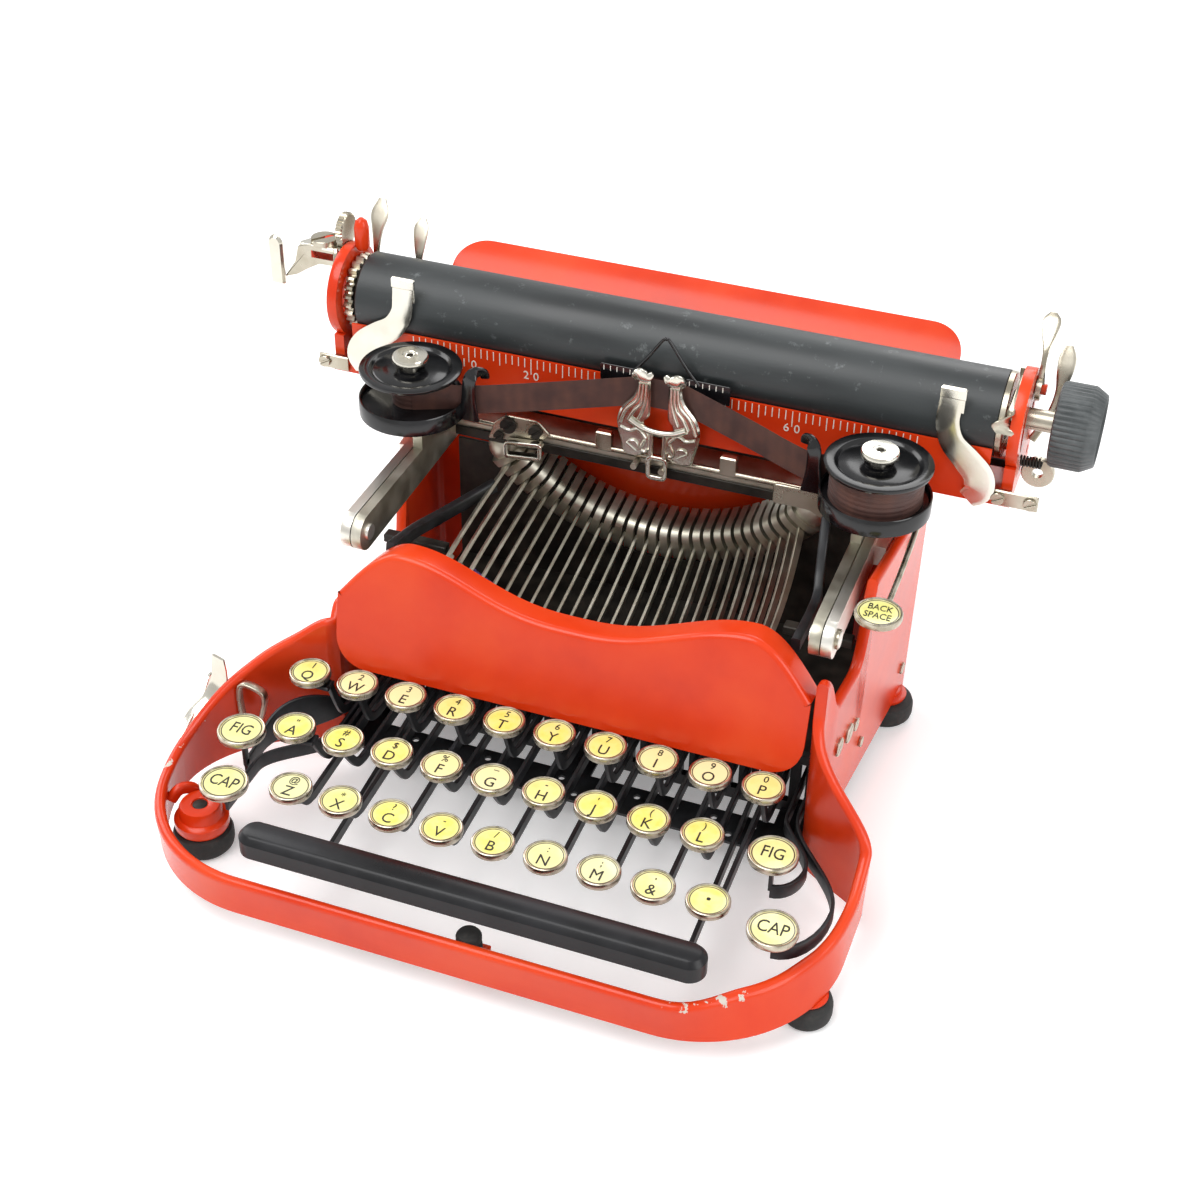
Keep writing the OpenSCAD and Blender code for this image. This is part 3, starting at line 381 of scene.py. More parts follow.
# Celluloid covered key card: cream paper gone yellow in the middle, paler at its rim, a thin dark printed ring
def keyCardFinish():
    material, tree, shader, tone, dulling, place = finish(
        "yellowed_key_card", ["#E9DF62", "#EFE978", "#EEE88E"], 5, (0.1, 0.2), relief=(0.7, 0.02))
    spot = addNode(tree, "Attribute", attribute_name="spot").outputs["Vector"]
    level = addNode(tree, "VectorMath", {0: spot, 1: (1, 1, 0)}, operation="MULTIPLY").outputs["Vector"]
    away = addNode(tree, "VectorMath", {0: level}, operation="LENGTH").outputs["Value"]
    fade = addNode(tree, "SeparateXYZ", {0: spot}).outputs["Z"]
    paler = addNode(tree, "MapRange", {"Value": away, "From Min": 0.7, "From Max": 1.0, "To Max": 0.6}).outputs[0]
    edge = addNode(tree, "MapRange", {"Value": away, "From Min": 0.885, "From Max": 0.905})
    past = addNode(tree, "MapRange", {"Value": away, "From Min": 0.945, "From Max": 0.965})
    line = addNode(tree, "Math", {0: edge.outputs[0], 1: past.outputs[0]}, operation="SUBTRACT").outputs[0]
    for share, code in ((fade, "#ECE9B0"), (paler, "#E9E4AE"), (line, "#4A4030")):  # aged, rim, printed ring
        tone = addNode(tree, "Mix", {"Factor": share, "A": tone, "B": colour(code)}, data_type="RGBA").outputs["Result"]
    tree.links.new(tone, shader.inputs["Base Color"])
    shader.inputs["Coat Weight"].default_value = 0.6
    shader.inputs["Coat Roughness"].default_value = 0.05
    return material


# Ribbon cloth: inked cotton, a plain weave of 0.35 mm threads drawn twice as coarse so that it shows
def ribbonFinish():
    material, tree, shader, tone, dulling, place = finish(
        "inked_cotton_ribbon", ["#3C201A", "#4A2B23", "#563429"], 9, (0.5, 0.68), relief=(0.7, 0.03))
    weave = addNode(tree, "TexWave", {"Vector": place, "Scale": perMm(0.7) / 20, "Distortion": 0.6},
                    bands_direction="X")
    tint = addNode(tree, "Mix", {"Factor": 0.12, "A": tone, "B": weave.outputs["Color"]},
                   data_type="RGBA", blend_type="MULTIPLY")
    tree.links.new(tint.outputs["Result"], shader.inputs["Base Color"])
    shader.inputs["Sheen Weight"].default_value = 0.1
    return material


# Platen rubber: hard black rubber gone grey, polished along its length, with chalky scuffs
def platenFinish():
    material, tree, shader, tone, dulling, place = finish(
        "hard_platen_rubber", ["#212425", "#292D2E", "#323637"], 14, (0.36, 0.52), relief=(0.8, 0.06),
        stretch=(0.25, 1, 1))
    scuffs = addNode(tree, "TexNoise", {"Vector": place, "Scale": perMm(6), "Detail": 6.0, "Roughness": 0.7})
    pale = addNode(tree, "MapRange", {"Value": scuffs.outputs["Fac"], "From Min": 0.6, "From Max": 0.72,
                                     "To Max": 0.4})
    dusty = addNode(tree, "Mix", {"Factor": pale.outputs[0], "A": tone, "B": colour("#8B9090")}, data_type="RGBA")
    tree.links.new(dusty.outputs["Result"], shader.inputs["Base Color"])
    return material


redEnamel = redEnamelFinish()
keyCard = keyCardFinish()
ribbonCloth = ribbonFinish()
platenRubber = platenFinish()
# Nickel plate: bright warm metal with cloudy handling marks
nickel = finish("nickel_plate", ["#CBC6B8", "#D6D2C6", "#E0DDD3"], 18, (0.13, 0.24), 1.0, (0.6, 0.02))[0]
# Nickel of the key rings: handled, duller, a little brown
ringNickel = finish("worn_key_ring_nickel", ["#9C9482", "#B9B1A0", "#CFC8B8"], 4, (0.22, 0.36), 1.0, (0.6, 0.03))[0]
# Brushed nickel of the fold arms: bright, with a soft drawn sheen
brushedNickel = finish("brushed_nickel", ["#DAD6CC", "#E2DFD6", "#E9E7E0"], 12, (0.3, 0.42), 1.0,
                       stretch=(1, 0.3, 1))[0]
# Tarnished nickel on the mechanism: browner and duller
dullNickel = finish("tarnished_nickel", ["#A59D8C", "#B3AC9C", "#C0BAAB"], 14, (0.2, 0.34), 1.0, (0.6, 0.03))[0]
# Milled steel of the type basket: grey brown and oily, so soft in its shine
agedSteel = finish("oiled_milled_steel", ["#B2AD9D", "#BFBBAC", "#CAC6B9"], 10, (0.36, 0.5), 1.0, (0.5, 0.03))[0]
# Blued dark steel inside the machine
darkSteel = finish("dark_oiled_steel", ["#211F1C", "#2D2A26", "#3B3731"], 8, (0.4, 0.6), 0.6, (0.6, 0.05))[0]
# Gloss black enamel of the ribbon gear: near mirror with a little dust
blackGloss = finish("gloss_black_enamel", ["#0A0A0B", "#101012", "#1A1A1C"], 9, (0.1, 0.2), relief=(0.9, 0.03))[0]
# Satin black lacquer of the key levers, rubbed grey in places
blackSatin = finish("satin_black_lacquer", ["#0E0F11", "#17181B", "#24262A"], 8, (0.36, 0.52), relief=(0.6, 0.05))[0]
# Moulded hard rubber of the space bar: smooth satin black
barBlack = finish("moulded_hard_rubber", ["#121214", "#1B1B1D", "#232326"], 20, (0.26, 0.38), relief=(0.7, 0.04),
                  specular=0.26)[0]
# Soft black rubber of the feet: matt with a powdery bloom
footRubber = finish("soft_black_rubber", ["#1A1A19", "#242423", "#32312F"], 3, (0.7, 0.85), relief=(0.5, 0.2))[0]
# Grey hard rubber of the knob: satin, a little worn
knobRubber = finish("grey_hard_rubber", ["#3E4243", "#484C4D", "#545859"], 5, (0.4, 0.55), relief=(0.6, 0.06))[0]
# Printing ink of the key legends: flat black
legendInk = finish("black_printing_ink", ["#15140F", "#1E1C16", "#2A281F"], 1.2, (0.4, 0.5))[0]
# White paint in graduation lines: chalky
scaleWhite = finish("white_scale_paint", ["#E2DDD0", "#EEEAE0", "#F6F3EA"], 2, (0.4, 0.55), relief=(0.5, 0.03))[0]
# Purple felt of the typebar rest: fuzzy wool
felt = finish("purple_wool_felt", ["#3A2C5E", "#54437E", "#7A6CA4"], 0.9, (0.85, 0.95), relief=(0.4, 0.5))[0]
keyMaterials = [ringNickel, keyCard, legendInk, blackSatin]
print("finishes made:", len(bpy.data.materials))


# Sets an object at a place, turned to three axes
def setAt(thing, axes, place):
    matrix = np.eye(4)
    matrix[:3, :3] = np.array(axes).T
    matrix[:3, 3] = place
    thing.matrix_world = Matrix(matrix.tolist())


# Camera at the photograph's place: focal length in pixels of a 1200 pixel frame, angles in degrees
camera = {"focal": 1933.45, "frame": 1200, "azimuth": 19.51, "elevation": 36.59, "roll": 1.13,
          "place": (188.1, -506.0, 494.76), "sensor": 36.0}


def setCamera(c):
    azimuth, elevation, roll = (math.radians(c[key]) for key in ("azimuth", "elevation", "roll"))
    back = np.array([math.sin(azimuth) * math.cos(elevation), -math.cos(azimuth) * math.cos(elevation),
                     math.sin(elevation)])
    right = unit(np.cross(-back, (0, 0, 1)))
    up = np.cross(back, right)
    data = bpy.data.cameras.new("photo_camera")
    data.sensor_width = c["sensor"]
    data.lens = c["focal"] / c["frame"] * c["sensor"]
    data.clip_start, data.clip_end = 0.01, 50
    eye = addObject("photo_camera", data)
    setAt(eye, [math.cos(roll) * right + math.sin(roll) * up, -math.sin(roll) * right + math.cos(roll) * up, back],
          toFrame(c["place"]))
    bpy.context.scene.camera = eye


# Soft studio light: a broad lamp over the machine, weaker ones at its sides and behind, and a white surround.
# Lamps are place, size and power, in metres and watts
studio = {"floor": 8.0, "lamps": [((-0.35, -0.55, 1.35), 1.1, 15.0), ((1.25, -0.35, 0.75), 0.9, 8.0),
                                  ((-1.15, 0.4, 0.8), 0.9, 7.0), ((0.1, 1.2, 0.9), 1.0, 7.0)],
          "aim": (0.0, 0.0, 0.07), "surround": 0.58, "floorGlow": 0.28}


# Empties a node tree and gives 1 for rays of the camera, of gloss and of glass
def raysSeen(tree):
    tree.nodes.clear()
    rays = addNode(tree, "LightPath").outputs
    seen = addNode(tree, "Math", {0: rays["Is Camera Ray"], 1: rays["Is Glossy Ray"]}, operation="MAXIMUM")
    return addNode(tree, "Math", {0: seen.outputs[0], 1: rays["Is Transmission Ray"]}, operation="MAXIMUM").outputs[0]


def setStudio(s):
    half = s["floor"] / 2
    mesh = bpy.data.meshes.new("studio_floor")
    mesh.from_pydata([(-half, -half, 0), (half, -half, 0), (half, half, 0), (-half, half, 0)], [], [(0, 1, 2, 3)])
    paper = bpy.data.materials.new("white_studio_paper")
    paper.use_nodes = True
    tree = paper.node_tree
    glow = addNode(tree, "Math", {0: raysSeen(tree), 1: s["floorGlow"]}, operation="MULTIPLY")
    emit = addNode(tree, "Emission", {"Strength": glow.outputs[0]})
    matt = addNode(tree, "BsdfDiffuse", {"Color": colour("#F4F4F4")})
    both = addNode(tree, "AddShader", {0: matt.outputs[0], 1: emit.outputs[0]})
    addNode(tree, "OutputMaterial", {"Surface": both.outputs[0]})
    mesh.materials.append(paper)
    floor = addObject("studio_floor", mesh)
    for place, size, power in s["lamps"]:
        data = bpy.data.lights.new("soft_lamp", "AREA")
        data.size, data.energy, data.shape = size, power, "DISK"
        setAt(addObject("soft_lamp", data), axesFor(np.asarray(place) - s["aim"]), place)
    world = bpy.data.worlds.new("white_surround")
    world.use_nodes = True
    tree = world.node_tree
    level = addNode(tree, "MapRange", {"Value": raysSeen(tree), "To Min": s["surround"], "To Max": 1.0})
    sky = addNode(tree, "Background", {"Strength": level.outputs[0]})
    addNode(tree, "OutputWorld", {"Surface": sky.outputs[0]})
    bpy.context.scene.world = world
    bpy.context.scene.view_settings.view_transform = "Standard"


setCamera(camera)
setStudio(studio)
print("camera and studio set")

# Base casting: plan sizes, heights of the wall's top along the right side and across the rear, rolled edge, and the
# stretches where the top leans in at the right front corner
base = {"front": -106.7, "right": 118.0, "left": 136.0, "rear": 106.0, "corner": 52.0, "rearCorner": 6.0,
        "waist": 93.0, "neck": 102.5, "flareRight": -30.0, "flareLeft": -55.0, "flareEnd": -8.0, "wall": 3.2,
        "bead": 0.45, "edge": 10.0, "rim": 26.0, "rise": 9.0, "shoulder": 78.0, "flange": 89.0, "notch": 68.5,
        "standard": 101.0, "leftStandard": 86.0, "sweepStart": -67.0, "fall": (-6, 9), "climb": (20, 39), "back": 99,
        "rearFall": (55, 90), "lean": 6.0, "leanX": (72, 98), "leanY": (-40, -80)}


# Side of the plan from the middle of the front to the middle of the rear: front, round corner, side, the flare to
# the waist (a cosine on the right, a cosine power on the left), straight wall, rear corner, rear
def baseSide(b, half, flareStart, bulging):
    r, rearR = b["corner"], b["rearCorner"]
    corner = np.array([half - r, b["front"] + r]) + r * around(np.radians(np.linspace(-90, 0, 26)))
    front = np.column_stack([np.linspace(0, corner[0, 0], 14)[:-1], np.full(13, b["front"])])
    side = np.column_stack([np.full(14, half), np.linspace(corner[-1, 1], flareStart, 16)[1:-1]])
    u = np.linspace(0, 1, 30)
    share = np.cos(np.pi / 2 * u) ** 1.5 if bulging else 0.5 + 0.5 * np.cos(np.pi * u)
    run = np.sin(np.pi / 2 * u) if bulging else u
    flare = np.column_stack([b["waist"] + (half - b["waist"]) * share, flareStart + run * (b["flareEnd"] - flareStart)])
    rearCorner = np.array([b["neck"] - rearR, b["rear"] - rearR]) + rearR * around(np.radians(np.linspace(0, 90, 7)))
    v = np.linspace(0, 1, 80)[1:-1, None]
    neck = flare[-1] * (1 - v) + rearCorner[0] * v
    rear = np.column_stack([np.linspace(rearCorner[-1, 0], 0, 12)[1:], np.full(11, b["rear"])])
    sides = [front, corner, side, flare] if side[0, 1] < flareStart - 0.1 else [front, corner, flare]
    return np.concatenate(sides + [neck, rearCorner, rear])


# Height of the wall's top: on the right rim, sweep up to the panel's end, flange, notch and standard as powers of the
# way along, and a smooth fall across the rear; on the left a smooth line through measured places
leftTop = [(-110, 26), (-80, 26), (-62, 27), (-45, 32.5), (-27, 46.3), (-19, 53.6), (-12.5, 60), (-8.4, 66.5),
           (-5, 70.5), (-2, 71.5), (2, 69), (10, 60), (22, 54), (44, 50), (58, 53), (62, 62), (65, 79), (69, 86),
           (95, 86), (125, 86)]


def baseTop(path, b):
    x, y = path.T
    u = part(y, b["sweepStart"], b["flareEnd"])
    swept = b["rim"] + b["rise"] * u + (b["shoulder"] - b["rim"] - b["rise"]) * u**3.5
    notch = b["flange"] + (b["notch"] - b["flange"]) * smoothStep(part(y, *b["fall"]))
    notch = notch + (b["standard"] - b["notch"]) * part(y, *b["climb"]) ** 5
    behind = b["leftStandard"] + (b["standard"] - b["leftStandard"]) * smoothStep(part(x, *b["rearFall"]))
    right = np.select([y < b["flareEnd"], y < b["climb"][1], y < b["back"]], [swept, notch, b["standard"]], behind)
    return np.where(x < 0, np.interp(y, *smoothLine(leftTop, 6).T), right)


# Wall section carried round the plan: every outline point has the section's depth inwards, its own top height and
# a lean, which takes the top of the right front corner further in
def baseWall(b):
    right = baseSide(b, b["right"], b["flareRight"], False)
    left = baseSide(b, b["left"], b["flareLeft"], True) * [-1, 1]
    path = np.concatenate([right, left[-2:0:-1]])
    inward = square(unit(np.roll(path, -1, 0) - np.roll(path, 1, 0)))
    top = baseTop(path, b)[:, None]
    wall, bead, edge = b["wall"], b["bead"], b["edge"]
    turn = np.radians(np.linspace(200, -20, 11))
    middle, reach = (wall + bead) / 2, wall / 2 + bead
    depth = np.concatenate([[bead + 0.7, bead, bead], middle + reach * np.cos(turn), [wall, wall, wall - 0.7]])
    ends = np.broadcast_to(edge + np.array([0, 0.7, 4]), (len(path), 3))
    z = np.concatenate([ends, top + reach * np.sin(turn) - reach, ends[:, ::-1]], 1)
    bent = smoothStep(part(path[:, :1], *b["leanX"]) * part(path[:, 1:], *b["leanY"]))
    inset = depth + b["lean"] * bent * (z - edge) / (top - edge)
    xy = path[:, None] + inset[..., None] * inward[:, None]
    return loft(np.concatenate([xy, z[..., None]], -1), wrap=True)


# Feet: place, cup radius, cup height above the casting's lower edge, and share of the rubber's radius
feet = [(-117.5, -70.0, 9.0, 9.6, 1.0), (109.5, -70.5, 6.0, 0.6, 0.8), (-97.0, 93.0, 7.0, 3.0, 1.0),
        (97.0, 93.0, 7.0, 3.0, 1.0)]
wallScrews = [((100.4, 80, 91), 3.0), ((95.6, 25, 43), 3.8), ((94.6, 14, 45), 3.6), ((96.3, 33, 41), 2.6),
              ((97.2, 43, 25), 2.0), ((101.3, 93, 24), 2.4)]


def baseShells():
    shells = group(0, baseWall(base))
    for x, y, r, h, share in feet:
        cup = [(r - 1.4, 9.4), (r + 0.4, 9.4), (r + 0.9, 10.5), (r + 0.9, 10 + h * 0.36), (r + 0.2, 10 + h * 0.44),
               (r - 1, 10 + h * 0.48), (r - 1.3, 10 + h * 0.56), (r - 1.3, 10 + h * 0.86), (r - 1.9, 10 + h * 0.97),
               (3.6, 10 + h), (3, 9.7 + h), (2.8, 9.2 + h)]
        shells += group(0, lathe(cup, (x, y, 0)))
        shells += group(1, lathe([(2.7, 8.2 + h), (2.7, 9.3 + h), (2.4, 9.5 + h)], (x, y, 0), steps=20))
    lug = smoothLine([(-122.5, -62, 16), (-124.5, -64.5, 20), (-127, -68, 21), (-129, -71, 18)], 5)
    shells += group(0, sweep(lug, boxProfile(3.2, 4.4, 1.2)), block((-6, -105.5, 13.2), (6, -93.4, 16.8), 0.8))
    shells += group(2, rod((-133.2, -48, 22), (-138, -48, 22), 1.4))
    for centre, radius in wallScrews:
        for side in (1, -1):
            flip = np.array([side, 1, 1])
            shells += group(3, *screwHead(centre * flip, (1, -0.08, 0) * flip, radius, 1.0))
    hoop = [(-121, 28), (-121.2, 40), (-119, 44), (-113, 43), (-110.6, 40), (-112, 33), (-114, 27)]
    return shells + group(3, sweep(smoothLine(atDepth(hoop, -30), 6), boxProfile(1.5, 3.2, 0.4), (0, 1, 0)))


makePiece("base_casting", baseShells(), [redEnamel, darkSteel, nickel, dullNickel], "base",
          ["base_frame"])

# Dark floor under the type basket, a plate behind it with an arc cut from its top, and the black links beside it
inner = {"half": 82.0, "floor": 36.6, "back": 86.0, "top": 92.0, "arc": 84.0, "arcZ": 140.0, "spread": 47.0,
         "horn": 64.0}


def innerShells(k):
    arc = np.radians(np.linspace(k["spread"], -k["spread"], 40))
    cut = np.column_stack([k["arc"] * np.sin(arc), k["arcZ"] - k["arc"] * np.cos(arc)])
    h, low, top, horn = k["half"], k["floor"], k["top"], k["horn"]
    outline = np.concatenate([[(-h, low), (h, low), (h, top), (horn, top)], cut, [(-horn, top), (-h, top)]])
    links = ([(-75, 8, 91), (-75, 28, 86), (-73, 46, 81.5), (-68, 60, 81), (-61, 72, 83)],
             [(77, 8, 90), (77, 34, 89), (75.5, 44, 93), (74, 52, 103), (73, 58, 110)])
    shells = group(0, block((-h, 12, low), (92, k["back"], 38)), plate(outline, 1.2, (0, k["back"], 0), faceAxes, 0.05))
    return shells + group(1, *(sweep(smoothLine(link, 7), boxProfile(3.4, 5.2, 0.8)) for link in links))


makePiece("inner_frame", innerShells(inner), [darkSteel, blackSatin], "base")
print("base casting made")

# Front panel: a leaning sheet with a wavy top edge that is bent back all along
panel = {"low": (-13.4, 51.6), "lean": 12.0, "thick": 2.5, "half": 88.0, "dip": 35.0, "rise": 13.5, "crest": 64.0,
         "end": 29.0, "corner": 12.0, "bend": 2.2, "flange": 10.0, "sheet": 1.3, "screw": (83.2, -1.5, 82.4)}


# Top edge: a flattened cosine from the dip to the crest, then a quarter cosine down to the end
def panelTop(x, p):
    x = np.abs(x)
    wave = np.maximum(0.5 - 0.5 * np.cos(np.pi * np.minimum(x, p["crest"]) / p["crest"]), 1e-9)
    fall = np.cos(np.pi / 2 * part(x, p["crest"], p["half"]))
    outer = p["end"] + (p["dip"] + p["rise"] - p["end"]) * fall
    return np.where(x < p["crest"], p["dip"] + p["rise"] * wave**1.4, outer)


# Section across the sheet at each place along its top edge: face, bend over the edge, flange, and back inside.
# The lower edge is a straight foot with round corners, shared out along its run
def panelSheet(p):
    h, r, s, t, f = p["half"], p["bend"], p["sheet"], p["thick"], p["flange"]
    x = h * np.sin(np.linspace(-1, 1, 121) * np.pi / 2)
    edge = np.column_stack([x, panelTop(x, p)])
    inward = -square(unit(np.gradient(edge, axis=0)))
    side = np.array([(-h, p["end"]), (-h, p["corner"])])
    bend = np.array([p["corner"] - h, p["corner"]]) + p["corner"] * around(np.radians(np.linspace(180, 270, 9)))
    foot = np.concatenate([side, bend, (bend * [-1, 1])[::-1], (side * [-1, 1])[::-1]])
    run = runAlong(foot)
    want = np.interp(x, [-h, -h * 0.94, h * 0.94, h], [0, run[5], run[-6], run[-1]])
    low = np.column_stack([np.interp(want, run, foot[:, k]) for k in (0, 1)])
    quarter = np.radians(np.linspace(0, 90, 6))
    within = quarter[::-1]
    depth = np.concatenate([r - r * np.sin(quarter), [0, 0.3, s - 0.3, s], r - (r - s) * np.sin(within)])
    lift = np.concatenate([np.full(4, t), t - r + r * np.cos(quarter), [0.3 - f, -f, -f, 0.3 - f],
                           t - r + (r - s) * np.cos(within), np.full(4, t - s)])
    upper = edge[:, None] + depth[None, :, None] * inward[:, None]
    lead = np.array([1, 0.75, 0.5, 0.25])[None, :, None]
    faceOut = low[:, None] * lead + upper[:, :1] * (1 - lead)
    faceIn = (low[:, None] * lead + upper[:, -1:] * (1 - lead))[:, ::-1]
    flat = np.concatenate([faceOut, upper, faceIn], 1)
    lean = math.radians(p["lean"])
    up, out = np.array([0, math.sin(lean), math.cos(lean)]), np.array([0, -math.cos(lean), math.sin(lean)])
    return loft(np.array([0, *p["low"]]) + flat[..., 0:1] * [1, 0, 0] + flat[..., 1:2] * up + lift[:, None] * out)


def panelShells(p):
    x, y, z = p["screw"]
    shells = group(0, panelSheet(p))
    for sign in (-1, 1):
        shells += group(1, *screwHead((sign * x, y, z), (sign * 0.8, 0.15, 0.6), 1.9))
    return shells


makePiece("front_panel_sheet", panelShells(panel), [redEnamel, dullNickel], "base", ["front_panel"])
print("front panel made")

# Rubber feet and the bumper behind the front rim
footProfile = np.array([(8.6, 0), (9.6, 0.2), (10.6, 1.4), (11, 3), (11, 6.5), (10.4, 8.2), (8.6, 9.3), (4, 9.4)])
bumperProfile = [(4.4, 17), (4.5, 18), (4.5, 20), (3.9, 20.6), (3.5, 21), (3.6, 21.6), (4.4, 22.2), (4.4, 23.8),
                 (3.8, 24.7), (2, 25)]
rubbers = [lathe(footProfile * [share, 1], (x, y, 0)) for x, y, r, h, share in feet]
makePiece("rubber_feet_set", group(0, *rubbers, lathe(bumperProfile, (0, -98.5, 0))), [footRubber], "base",
          ["rubber_feet"])

# Letter keys: places of the rows, ring and card sizes, and the legends of each row (sign above the letter)
keys = {"pitch": 19.05, "rowY": (-25.0, -47.5, -70.0), "rowZ": (54.0, 47.2, 40.4), "firstX": (-93.5, -88.74, -79.21),
        "names": ("key_top_", "key_mid_", "key_low_"), "radius": 7.6, "ring": 4.5,
        "leverEdge": (-85.95, -81.45, -79.2), "footZ": (29.6, 26.8, 24.0)}
lever = {"thick": 1.6, "half": 2.2, "rodY": 55.0, "rodZ": 28.0, "lean": 9.0, "stem": 1.4}
legends = (["Q1", "W2", "E3", "R4", "T5", "Y6", "U7", "I8", "O9", "P0"],
           ['A"', "S#", "D$", "F%", "G_", "H-", "J'", "K(", "L)"],
           ["Z@", "X*", "C?", "V-", "B/", "N:", "M;", "&,", "."])
inkDepth = 0.38  # of the legends below the ring's top
signLifts = {'"': -1.4, "'": -1.4, "*": -1.2, "_": 2.6, "-": 0.2, ",": 1.0}


# Key top: nickel ring turned from its bezel profile, a slightly domed card inside it. The card's spot is the place
# on it as a share of its radius, and its ageing
def keyTop(x, y, z, radius, height, fade):
    bezel = [(radius - 2.6, -2.9), (radius - 0.8, -2.9), (radius - 0.2, -2.6), (radius, -2.0),
             (radius, -0.6), (radius - 0.2, -0.15), (radius - 0.5, 0), (radius - 0.85, -0.1), (radius - 1.0, -0.4),
             (radius - 1.05, -0.9)]
    inside = radius - 1.0
    card = [(inside, -1.0), (inside, -0.56), (inside * 0.7, -0.46), (inside * 0.35, -0.41), (inside * 0.05, -0.4)]
    under = [(radius - 3.4, -height), (radius - 1.8, -height + 0.5), (radius - 1.4, -2.8)]
    face = lathe(card, (x, y, z), steps=32)
    spot = (face[0] - [x, y, z]) / inside * [1, 1, 0] + [0, 0, fade]
    return [(lathe(bezel, (x, y, z)), 0), (face, 1, spot), (lathe(under, (x, y, z), steps=28), 3)]


def keyLegend(text, x, y, z):
    top = z - inkDepth
    if len(text) == 1:
        return group(2, lettering(text, 12.0, (x, y + 3.4, top), topAxes))
    letter, sign = text
    lift = 3.2 + signLifts.get(sign, 0)
    return group(2, lettering(letter, 6.7, (x, y - 2.5, top), topAxes, stretch=0.88),
                 lettering(sign, 4.5, (x, y + lift, top), topAxes, stretch=0.86))


# Lever seen from the side: a straight strip from the rod, then a smooth line up to the key; the outline is that
# line moved square to itself to both sides, less towards the key
def leverShells(x, y, footZ, topZ, k):
    front, stem = y + k["lean"], k["stem"]
    straight = np.column_stack([np.linspace(k["rodY"], front + 6, 10), np.linspace(k["rodZ"], footZ, 10)])
    bend = smoothLine([(front + 6, footZ), (front + 1.2, footZ + 1), (front - 2.6, footZ + 4.6), (y + 1.2, topZ - 4),
                       (y, topZ)], 5)
    line = np.concatenate([straight, bend[1:]])
    half = np.interp(line[:, 0], [y, front - 2, front + 6], [stem, stem + 0.2, k["half"]])[:, None]
    out = half * square(unit(np.gradient(line, axis=0)))
    side = np.concatenate([line + out, (line - out)[::-1]])
    return [plate(side, k["thick"], (x - k["thick"] / 2, 0, 0), sideAxes, 0.2),
            collar((x, k["rodY"], k["rodZ"]), 2.1, 4.4, 0.75, (0.2, 0.25), steps=20)]


def makeKeys(k):
    for row, texts in enumerate(legends):
        y, z = k["rowY"][row], k["rowZ"][row]
        for i, text in enumerate(texts):
            x = k["firstX"][row] + i * k["pitch"]
            lineX = max(x, k["leverEdge"][row])
            fade = 0.5 + 0.5 * math.sin(7.3 * i + 4.1 * row)
            shells = keyTop(x, y, z, k["radius"], k["ring"], fade * fade) + keyLegend(text, x, y, z)
            shells += group(3, *leverShells(lineX, y, k["footZ"][row], z - k["ring"] + 0.8, lever))
            if lineX > x + 0.5:
                shells += group(3, block((x - 2, y - 2.8, z - 5.9), (lineX + 0.7, y + 2.8, z - 4.2)))
            name = k["names"][row] + str(i + 1)
            makePiece("letter_" + name, shells, keyMaterials, name, [name])


makeKeys(keys)
print("letter keys made")

# Space bar: a stadium outline at rising heights, drawn in towards the top for its bevel, on two levers
bar = {"middle": (-2.0, -95.5), "length": 166.0, "width": 12.0, "low": 33.0, "levers": (-64.92, 68.43), "footZ": 16.0,
       "heights": ((33.0, 0.6), (33.6, 0.0), (39.6, 0.0), (41.5, 1.5), (42.0, 2.3)), "leverBack": 3.0}


def barShells(b):
    circle = around(turns(48))
    middle = b["middle"] + (b["length"] - b["width"]) / 2 * np.sign(circle) * [1, 0]
    rings = [np.column_stack([middle + (b["width"] / 2 - inset) * circle, np.full(48, z)]) for z, inset in b["heights"]]
    shells = group(0, loft(rings))
    for x in b["levers"]:
        shells += group(1, *leverShells(x, b["middle"][1] + b["leverBack"], b["footZ"], b["low"] + 0.8, lever))
    return shells


makePiece("space_bar_moulding", barShells(bar), [barBlack, blackSatin], "space_bar", ["space_bar"])

# Shift keys: places left and right, the straps' sweep round the wall, their humps and lines at the rod, and the bails
shiftKeys = {
    "cap_shift": {"keys": ((-103.5, -74.0), (96.0, -72.5)), "z": 38.1, "out": (-103.5, 110.5), "lines": (-83.7, 87.7),
                  "turn": 22.0, "bend": (-26.0, -8.0), "hump": (0.0, 0.0), "bar": (66.0, 19.0), "word": "CAP"},
    "fig_shift": {"keys": ((-107.0, -53.5), (88.0, -46.0)), "z": 44.9, "out": (-107.0, 97.0), "lines": (-88.2, 84.0),
                  "turn": 12.0, "bend": (-6.0, -10.0), "hump": (10.0, 0.0), "bar": (76.0, 32.4), "word": "FIG"}}
strap = {"thick": 1.3, "tall": 5.8, "z": 27.0, "end": 57.5, "humpY": -26.0, "humpRun": 12.0, "key": 8.7, "ring": 4.5}


# Strap line in plan: a quarter round out from the key, then a cosine in to its line, then straight to the rod
def strapLine(key, out, line, turn, bend):
    a = np.radians(np.linspace(0, 90, 9))
    first = np.column_stack([key[0] + (out - key[0]) * np.sin(a), key[1] + turn * (1 - np.cos(a))])
    u = np.linspace(0, 1, 22)[1:]
    start = key[1] + turn
    second = np.column_stack([line + (out - line) * (0.5 + 0.5 * np.cos(np.pi * u)), start + u * (bend - start)])
    back = np.column_stack([np.full(3, line), np.linspace(bend, strap["end"], 4)[1:]])
    return np.concatenate([first, second, back])


